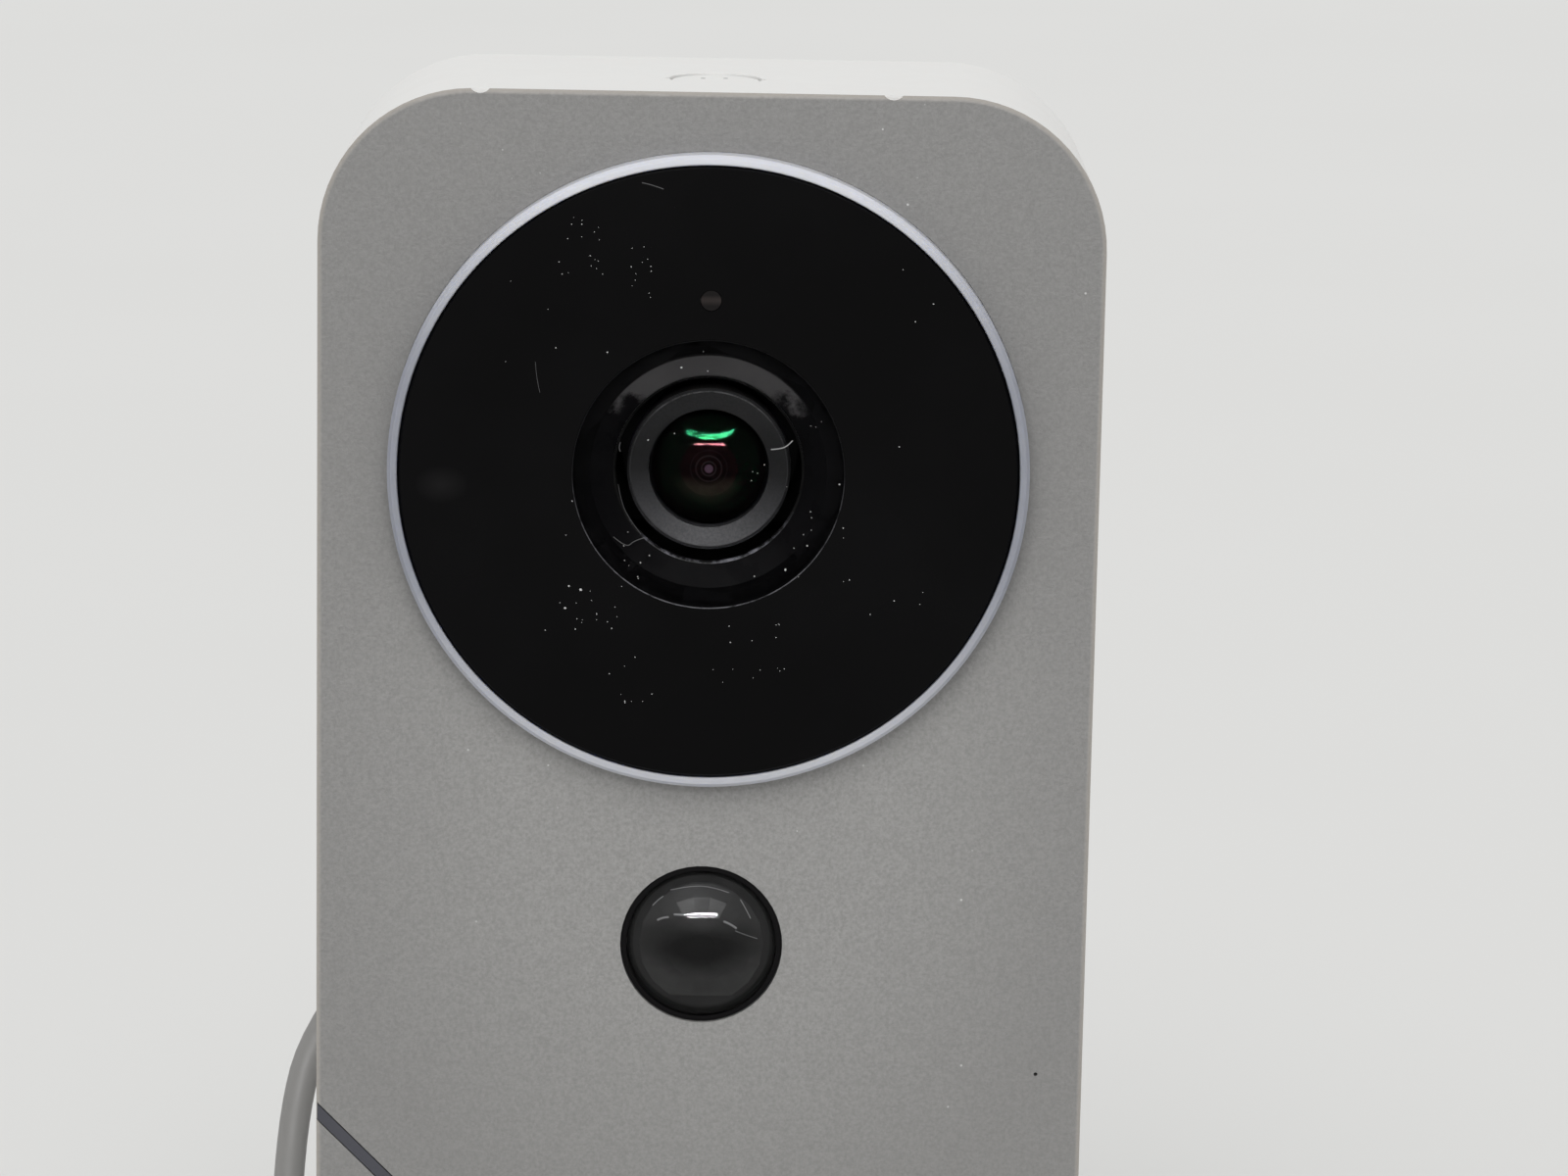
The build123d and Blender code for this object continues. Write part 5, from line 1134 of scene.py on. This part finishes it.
glints = [
    glint([(-2.7, 4.5), (-1.0, 4.95), (0.9, 4.9), (2.3, 4.4)], 0.030),
    glint([(-4.2, 3.1), (-3.8, 3.6), (-3.3, 3.95)], 0.045),
    glint([(-3.75, 2.0), (-3.3, 2.3), (-2.8, 2.35)], 0.10),
    glint([(1.9, 2.15), (2.5, 1.9), (3.0, 1.5)], 0.10),
    glint([(3.3, 3.8), (3.8, 3.0), (4.2, 2.2)], 0.045),
    glint([(-2.35, 2.62), (-1.9, 2.66), (-1.5, 2.64)], 0.10),
    glint([(2.9, 1.3), (3.9, 0.8), (4.8, 0.4)], 0.025),
]
painted_glints = moulded("painted_glints", (0.42, 0.42, 0.43), 0.5, 4000.0)
settle(joined(glints), "dome_glints", painted_glints, "head", smooth=0)


# Floor and light; sizes, places and powers here are in metres and watts
clear_selection()
bpy.ops.mesh.primitive_plane_add(size=12.0, location=(0, 0, 0))
floor = bpy.context.object
floor.name = "floor"
paper, tree, shader = new_finish("floor_paper")
paper_tone = colours(tree, clouds(tree, 6.0), (0.700, 0.700, 0.690), (0.720, 0.720, 0.712))
tree.links.new(paper_tone, shader.inputs["Base Color"])
shader.inputs["Roughness"].default_value = 1.0
shader.inputs["Specular IOR Level"].default_value = 0.0
floor.data.materials.append(paper)

world = bpy.data.worlds.new("studio")
bpy.context.scene.world = world
world.use_nodes = True
sky = world.node_tree.nodes["Background"]
sky.inputs["Color"].default_value = (0.74, 0.74, 0.735, 1.0)
sky.inputs["Strength"].default_value = 1.0

bpy.ops.object.light_add(type="SUN", location=(0, -1, 2), rotation=(math.radians(42), 0, math.radians(-8)))
key = bpy.context.object
key.name = "soft_key"
key.data.energy = 1.2
key.data.angle = math.radians(40)
key.visible_glossy = False

# Long lamp above the camera, seen only in reflections, above all in the lens and the motion dome
bpy.ops.object.light_add(type="AREA", location=(0, -0.37, 0.256), rotation=(math.radians(65), 0, 0))
strip = bpy.context.object
strip.name = "strip_lamp"
strip.data.shape = "RECTANGLE"
strip.data.size = 0.290
strip.data.size_y = 0.020
strip.data.energy = 3.6
strip.visible_camera = False
strip.visible_diffuse = False

bpy.context.scene.view_settings.view_transform = "Standard"
